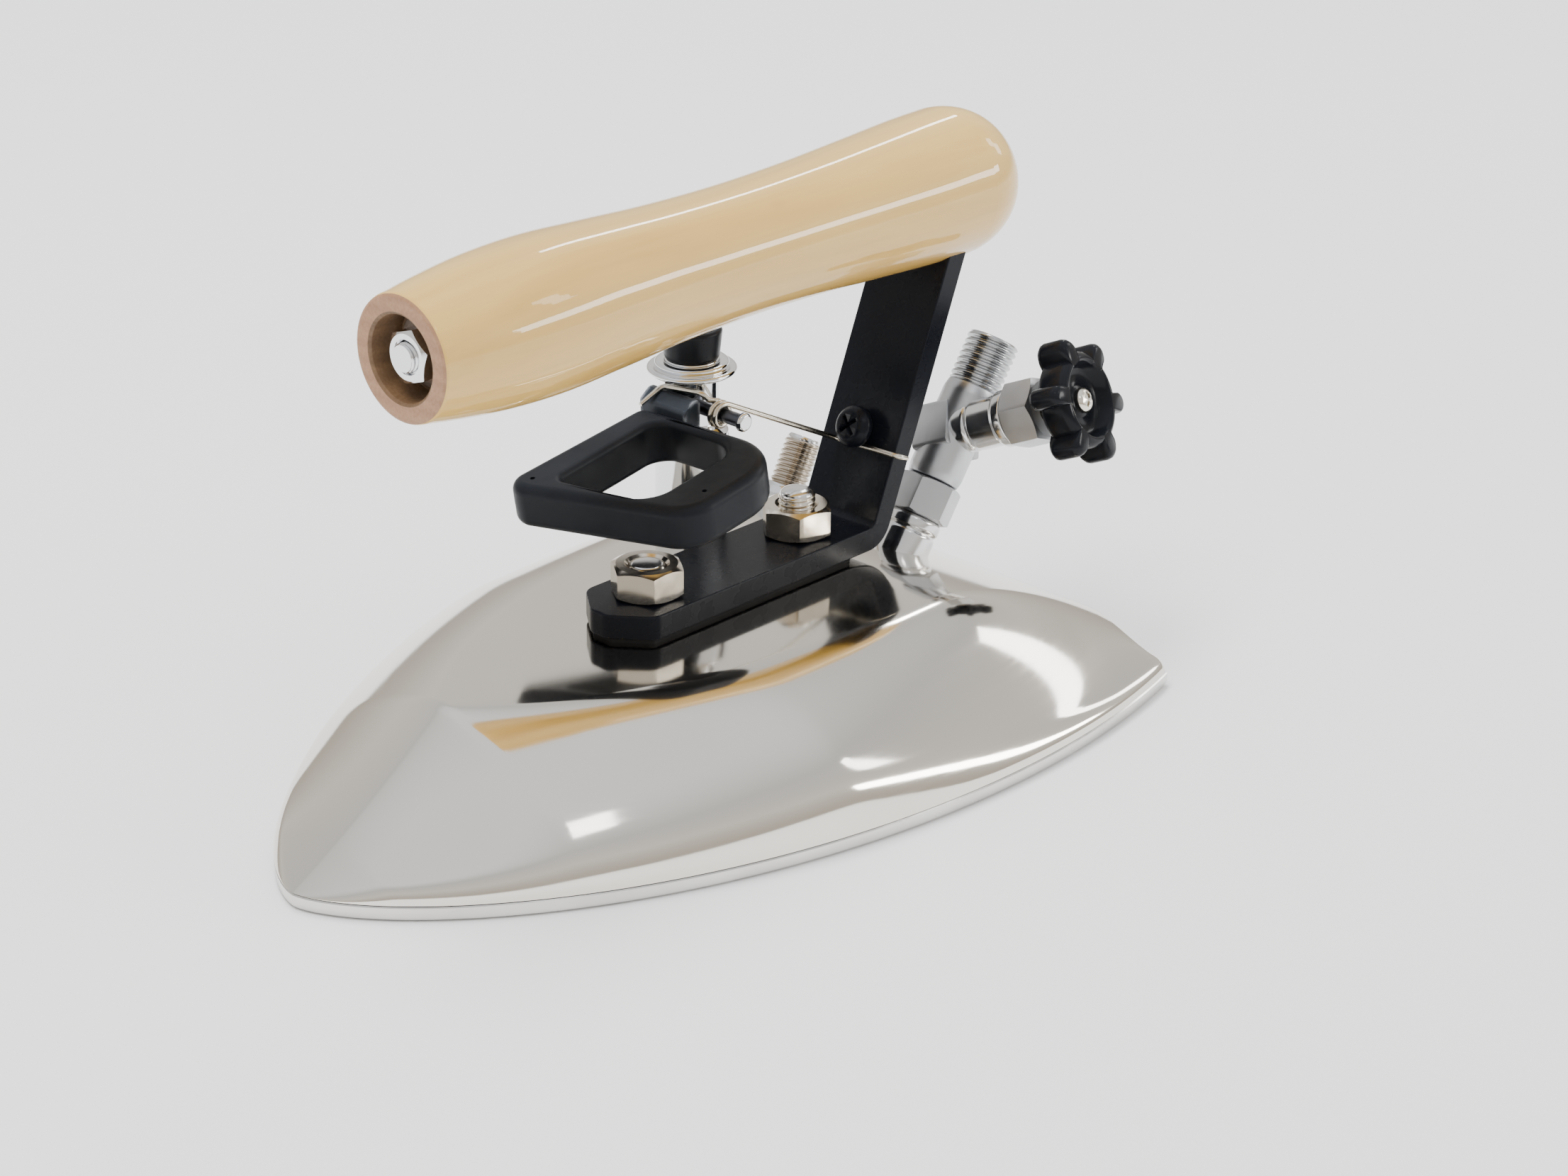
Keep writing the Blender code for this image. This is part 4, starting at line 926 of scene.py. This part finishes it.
def build_stem():
    profile = [(0.0, 40.0), (STEM_R, 40.0), (STEM_R, 61.0), (3.2, 61.0), (3.2, 62.4), (STEM_R, 62.4),
               (STEM_R, 70.2), (1.0, 71.0), (0.0, 71.0)]
    add_piece("stem_rod", turned(profile, 0.2, matrix=tower_matrix()), "valve_stem", CHROME)
    turns, radius, low, high = 5, 2.55, 52.4, 60.2
    steps = turns * 20
    points = []
    for step in range(steps + 1):
        angle = 2 * pi * turns * step / steps
        height = low + (high - low) * step / steps
        points.append((TOWER[0] + radius * cos(angle), TOWER[1] + radius * sin(angle), height))
    spring = add_piece("stem_return_coil", swept(points, 0.4), "stem_spring", WIRE)
    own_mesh(spring)


def loop_matrix():
    """The loop's own plane: local +Z is its upper face's normal."""
    normal = Vector((-LOOP_SLOPE, 0.0, 1.0)).normalized()
    return Matrix.Translation((TOWER[0], 0.0, LOOP_TOP_Z)) @ Matrix.Rotation(-acos(normal.z), 4, "Y")


def on_slope(x):
    """Distance along the sloping plane of a point seen from above at x."""
    return (x - TOWER[0]) * sqrt(1 + LOOP_SLOPE ** 2)


def loop_outline(corners):
    """Outline given as seen from above, laid on the sloping plane."""
    return rounded([(on_slope(x), y, radius) for x, y, radius in corners], 14)


def build_loop():
    outer = loop_outline([(79.2, 26.4, 4.5), (119.8, 24.6, 3.0), (122.6, -17.4, 13.0),
                          (92.0, -17.4, 9.0)])
    hole = loop_outline([(87.8, 17.3, 1.8), (117.2, 17.3, 5.0), (117.8, -6.0, 6.5), (91.5, -6.0, 7.0)])
    solid = stacked(round_edged(outer, -LOOP_THICKNESS, 0.0, 2.3), matrix=loop_matrix(),
                    channels=[round_edged(hole, -LOOP_THICKNESS, 0.0, -1.5)])
    loop = add_piece("finger_pull", solid, "finger_loop", RUBBER)
    for x, y in ((85.0, 21.5), (89.5, -9.5), (100.5, -13.0), (121.0, 12.0)):
        place = loop_matrix() @ Matrix.Translation((on_slope(x), y, 0.0))
        carved(loop, turned([(0.0, -0.8), (0.5, -0.6), (0.65, 1.0), (0.0, 1.0)], 0.1, matrix=place,
                            segments=20))


def build_lever_arm():
    hump = [(121.0, 61.6, 0.8), (120.6, 65.9, 1.2), (123.3, 67.9, 1.2), (125.2, 67.9, 0.8),
            (125.2, 61.6, 0.5)]
    arm = add_piece("lever_neck", prism(rounded(hump, 8), 12.6, 26.0, matrix=UPRIGHT_FAR),
                    "lever_arm", WORN_AND_HIGHLIT_PAINT)
    bevelled(arm, 0.45, 4, 40.0)
    tail = [(123.6, 63.0, 0.4), (123.6, 67.0, 0.4), (135.2, 67.0, 0.8), (135.2, 63.0, 0.8)]
    made = prism(rounded(tail, 6), TOWER[1] - 3.4, TOWER[1] + 3.4, matrix=UPRIGHT_FAR)
    add_piece("lever_tail", made, "lever_arm", WORN_AND_HIGHLIT_PAINT)


def build_lever_pin():
    profile = [(0.0, 1.2), (1.6, 1.2), (2.1, 1.7), (2.1, 2.5), (PIN_R, 2.7), (PIN_R, 27.0), (0.0, 27.0)]
    along_y = frame_matrix((PIVOT[0], 0.0, PIVOT[1]), (0, 1, 0))
    pin = add_piece("pivot_pin", turned(profile, 0.25, matrix=along_y), "lever_pin", [PIN_DARK_REFLECTION, CHROME])
    # The pin's shank takes the dark metal, a painted dark reflection; its head takes the chrome.
    for face in pin.data.polygons:
        face.material_index = 1 if face.center.y < 1.9 * MM else 0


def build_return_spring():
    """Over the lever's neck, round the pin, back to the upright and under its screw."""
    coil_r = PIN_R + 1.0
    points = eased([(117.8, 23.0, 66.0), (124.1, 22.6, 68.7), (125.3, 12.3, 69.5), (126.4, 11.3, 67.9)],
                   1.6, 8)
    turns, start_y, end_y = 2, 10.6, 7.6
    steps = turns * 28
    for step in range(steps + 1):
        share = step / steps
        angle = share * (2 * pi * turns + radians(25))
        points.append(Vector((PIVOT[0] + coil_r * sin(angle), start_y + (end_y - start_y) * share,
                              PIVOT[1] + coil_r * cos(angle))))
    x, z = lean_point((SPRING_END_Z - PLATE_TOP_Z) / cos(LEAN), 0.7)
    points += eased([points.pop(), (x, 5.6, z), (x + 0.2, -11.9, z + 0.6), (x + 3.0, -12.4, z - 0.6)],
                    1.6, 8)
    spring = add_piece("return_wire", swept(points, 0.6), "return_spring", WIRE)
    spring.parent = None
    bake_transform(spring)


# ---- inlet, regulating valve and drain

def inlet_matrix():
    return frame_matrix(INLET_FOOT, INLET_AXIS)


def wheel_matrix():
    return frame_matrix(INLET_FOOT + INLET_AXIS * JUNCTION, WHEEL_AXIS, side=INLET_AXIS)


def build_inlet():
    boss = [(3.9, -7.0), (INLET_BOSS_R, -7.0), (INLET_BOSS_R, 1.2), (5.4, 1.9), (6.1, 2.6), (6.1, 4.4),
            (5.6, 5.2), (3.9, 5.2)]
    made = turned(boss, 0.4, closed=True, matrix=inlet_matrix())
    add_piece("inlet_boss_turned", made, "inlet_boss", BRIGHT)
    seat = inlet_matrix() @ Matrix.Translation((0.0, 0.0, 5.3))
    nut = hex_piece(INLET_NUT_FLATS, 8.5, 4.6, radians(20), 0.4, seat)
    add_piece("inlet_union_nut", nut, "inlet_nut", CAST, sharp=22.0)


def build_regulator():
    place = inlet_matrix()
    barrel = [(3.6, 5.0), (4.7, 5.0), (4.7, 14.1), (5.8, 14.1), (6.2, 16.0), (6.2, 34.6), (5.7, 36.8),
              (3.6, 36.8)]
    made = turned(barrel, 0.4, closed=True, matrix=place)
    add_piece("regulator_barrel", made, "regulator_body", CAST)
    branch = wheel_matrix()
    corners = [(-5.2, -6.5, 0.9), (5.2, -6.5, 0.9), (5.2, 6.5, 0.9), (-5.2, 6.5, 0.9)]
    pad = prism(rounded(corners, 5), -6.6, 2.4, matrix=branch)
    square = add_piece("regulator_pad", pad, "regulator_body", CAST)
    bevelled(square, 0.5, 3, 50.0)
    bonnet = [(0.0, 1.0), (5.7, 1.0), (5.7, 5.6), (5.2, 6.2), (5.7, 6.8), (5.7, 13.2), (6.4, 13.8),
              (6.4, 16.0), (0.0, 16.0)]
    add_piece("regulator_bonnet", turned(bonnet, 0.4, matrix=branch), "regulator_body", BRIGHT)
    thread = threaded(5.95, 36.6, 48.3, 1.5, 0.5, bore=3.6, matrix=place)
    add_piece("regulator_thread", thread, "regulator_body", THREAD)
    seat = branch @ Matrix.Translation((0, 0, 16.3))
    nut = hex_piece(BONNET_NUT_FLATS, 8.2, 2.4, radians(15), 0.45, seat)
    add_piece("bonnet_hex", nut, "bonnet_nut", CAST, sharp=22.0)
    spindle = [(0.0, 16.0), (2.1, 16.0), (2.1, 27.0), (0.0, 27.0)]
    add_piece("wheel_spindle", turned(spindle, 0.2, matrix=branch), "spindle", NICKEL)


def wheel_reach(angle):
    """Distance of the handwheel's outline from its axis: a round rim with a lobe at each sixth."""
    local = (angle - LOBE_TURN + pi / LOBES) % (2 * pi / LOBES) - pi / LOBES
    off = LOBE_REACH * sin(local)
    if abs(off) >= LOBE_R:
        return WHEEL_R
    return max(WHEEL_R, LOBE_REACH * cos(local) + sqrt(LOBE_R ** 2 - off ** 2))


def build_handwheel():
    low, high = WHEEL_SPAN
    segments = 240
    rows = [(low, None, 4.6), (low + 1.6, None, 5.4), (low + 1.9, None, 8.4), (low + 2.0, 2.0, None),
            (low + 2.3, 1.0, None), (low + 3.0, 0.25, None), (low + 3.8, 0.0, None),
            (high - 2.0, 0.0, None), (high - 1.0, 0.3, None), (high - 0.4, 0.9, None),
            (high - 0.1, 1.6, None), (high - 0.2, None, 8.6), (high - 0.9, None, 8.2),
            (high - 3.0, None, 7.6), (high - 3.4, None, 7.0), (high - 3.4, None, 4.2),
            (high - 3.1, None, 3.7), (high - 2.8, None, 3.2)]
    loops = [[(0.0, 0.0, low)]]
    for height, inset, radius in rows:
        loop = []
        for angle in around(segments):
            size = radius if inset is None else wheel_reach(angle) - inset
            loop.append((size * cos(angle), size * sin(angle), height))
        loops.append(loop)
    loops.append([(0.0, 0.0, high - 2.8)])
    add_piece("wheel_moulding", skinned(loops, matrix=wheel_matrix()), "handwheel", GLOSS, sharp=50.0)
    head = [(0.0, 33.4), (2.7, 33.4), (2.95, 34.3), (2.2, 35.2), (0.0, 35.6)]
    screw = add_piece("wheel_screw", turned(head, 0.4, matrix=wheel_matrix()), "handwheel_screw", NICKEL)
    for turn in (0.0, pi / 2):
        place = wheel_matrix() @ Matrix.Rotation(turn, 4, "Z")
        carved(screw, box((-1.6, -0.35, 34.6), (1.6, 0.35, 38.0), place))


def build_drain():
    place = frame_matrix(DRAIN_FOOT, DRAIN_AXIS)
    boss = [(4.0, -7.0), (DRAIN_BOSS_R, -7.0), (DRAIN_BOSS_R, 1.3), (5.4, 2.5), (5.2, 3.6), (4.0, 3.6)]
    add_piece("drain_boss_turned", turned(boss, 0.5, closed=True, matrix=place), "drain_boss", BRIGHT)
    thread = threaded(4.2, 3.0, 14.6, 1.3, 0.45, bore=2.6, matrix=place)
    add_piece("drain_thread", thread, "drain_nipple", DRAIN)
    tip = [(2.6, 14.0), (3.8, 14.0), (3.9, 14.7), (3.5, 15.4), (2.6, 15.4)]
    add_piece("drain_tip", turned(tip, 0.15, closed=True, matrix=place), "drain_nipple", BRIGHT)


def finish_inner_nodes():
    """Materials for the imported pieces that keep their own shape."""
    inner = {"chest_floor": CHEST, "steam_chest": CHEST, "valve_seat": BRASS, "stem_packing": PACKING,
             "packing_gland": BRASS, "delivery_tube": BRASS, "bonnet_packing": PACKING,
             "regulator_needle": BRASS}
    for node, finish in inner.items():
        mesh = frame["nodes"][node].data
        mesh.materials.clear()
        mesh.materials.append(finish)


# ---- studio

def build_floor():
    made = bmesh.new()
    bmesh.ops.create_grid(made, x_segments=1, y_segments=1, size=6.0)
    floor = placed("floor", made)
    floor.location.z = -0.0002
    finish = Finish("floor_card", Base_Color=(0.93, 0.93, 0.93, 1.0), Roughness=0.85)
    floor.data.materials.append(finish.material)


def add_light(name, toward, distance, size, power, color=(1.0, 1.0, 1.0)):
    """A soft rectangular light, toward being its direction from the iron."""
    light = bpy.data.lights.new(name, "AREA")
    light.shape = "RECTANGLE"
    light.size, light.size_y = size
    light.energy = power
    light.color = color
    lamp = bpy.data.objects.new(name, light)
    direction = Vector(toward).normalized()
    lamp.location = Vector((0.0, 0.0, 0.05)) + direction * distance
    lamp.rotation_euler = direction.to_track_quat("Z", "Y").to_euler()
    bpy.context.scene.collection.objects.link(lamp)
    return lamp


def build_studio():
    world = bpy.data.worlds.new("studio")
    world.use_nodes = True
    tree = world.node_tree
    place = tree.nodes.new("ShaderNodeTexCoord").outputs["Generated"]
    split = tree.nodes.new("ShaderNodeSeparateXYZ")
    tree.links.new(place, split.inputs[0])
    ramp = tree.nodes.new("ShaderNodeValToRGB")
    stops = ramp.color_ramp.elements
    stops[0].position, stops[0].color = 0.0, (0.50, 0.455, 0.40, 1.0)
    stops[1].position, stops[1].color = 0.9, (0.95, 0.96, 1.0, 1.0)
    stops.new(0.35).color = (0.78, 0.755, 0.72, 1.0)
    stops.new(0.68).color = (0.66, 0.66, 0.665, 1.0)
    tree.links.new(split.outputs["Z"], ramp.inputs[0])
    shade = tree.nodes["Background"]
    tree.links.new(ramp.outputs[0], shade.inputs["Color"])
    shade.inputs["Strength"].default_value = 1.2
    bpy.context.scene.world = world
    ceiling = add_light("ceiling", (-0.1, 0.25, 1.0), 1.6, (1.6, 0.5), 40.0)
    ceiling.visible_glossy = False
    add_light("top_strip", (0.66, 0.34, 0.66), 1.5, (0.06, 0.35), 1.6)
    add_light("window", (0.667, -0.72, 0.24), 1.5, (0.9, 0.16), 7.0, (1.0, 0.99, 0.97))
    add_light("window_left", (-0.195, -0.554, 0.810), 1.5, (0.22, 0.22), 0.8)
    add_light("window_right", (0.548, -0.637, 0.542), 1.5, (0.12, 0.26), 0.6)
    add_light("window_rear", (0.881, -0.213, 0.423), 1.5, (0.18, 0.5), 1.8)


def build_camera():
    level = Vector((cos(CAMERA_AZIMUTH), sin(CAMERA_AZIMUTH), 0.0))
    back = Vector((sin(CAMERA_AZIMUTH) * cos(CAMERA_ELEVATION), -cos(CAMERA_AZIMUTH) * cos(CAMERA_ELEVATION),
                   sin(CAMERA_ELEVATION)))
    right = level * cos(CAMERA_ROLL) + back.cross(level) * sin(CAMERA_ROLL)
    target = TO_FRAME @ Vector(CAMERA_TARGET)
    data = bpy.data.cameras.new("camera")
    data.sensor_width = SENSOR_WIDTH
    data.lens = CAMERA_LENS
    data.clip_start = 0.01
    camera = bpy.data.objects.new("camera", data)
    turn = Matrix((right, back.cross(right), back)).transposed().to_4x4()
    camera.matrix_world = Matrix.Translation(target + back * CAMERA_DISTANCE * MM) @ turn
    bpy.context.scene.collection.objects.link(camera)
    bpy.context.scene.camera = camera


build_camera()
build_shell()
build_sole()
build_bracket()
build_gasket()
build_studs_and_nuts()
build_spring_screw()
build_handle()
build_handle_rod()
build_tower()
build_stem()
build_loop()
build_lever_arm()
build_lever_pin()
build_return_spring()
build_inlet()
build_regulator()
build_handwheel()
build_drain()
finish_inner_nodes()
build_floor()
build_studio()
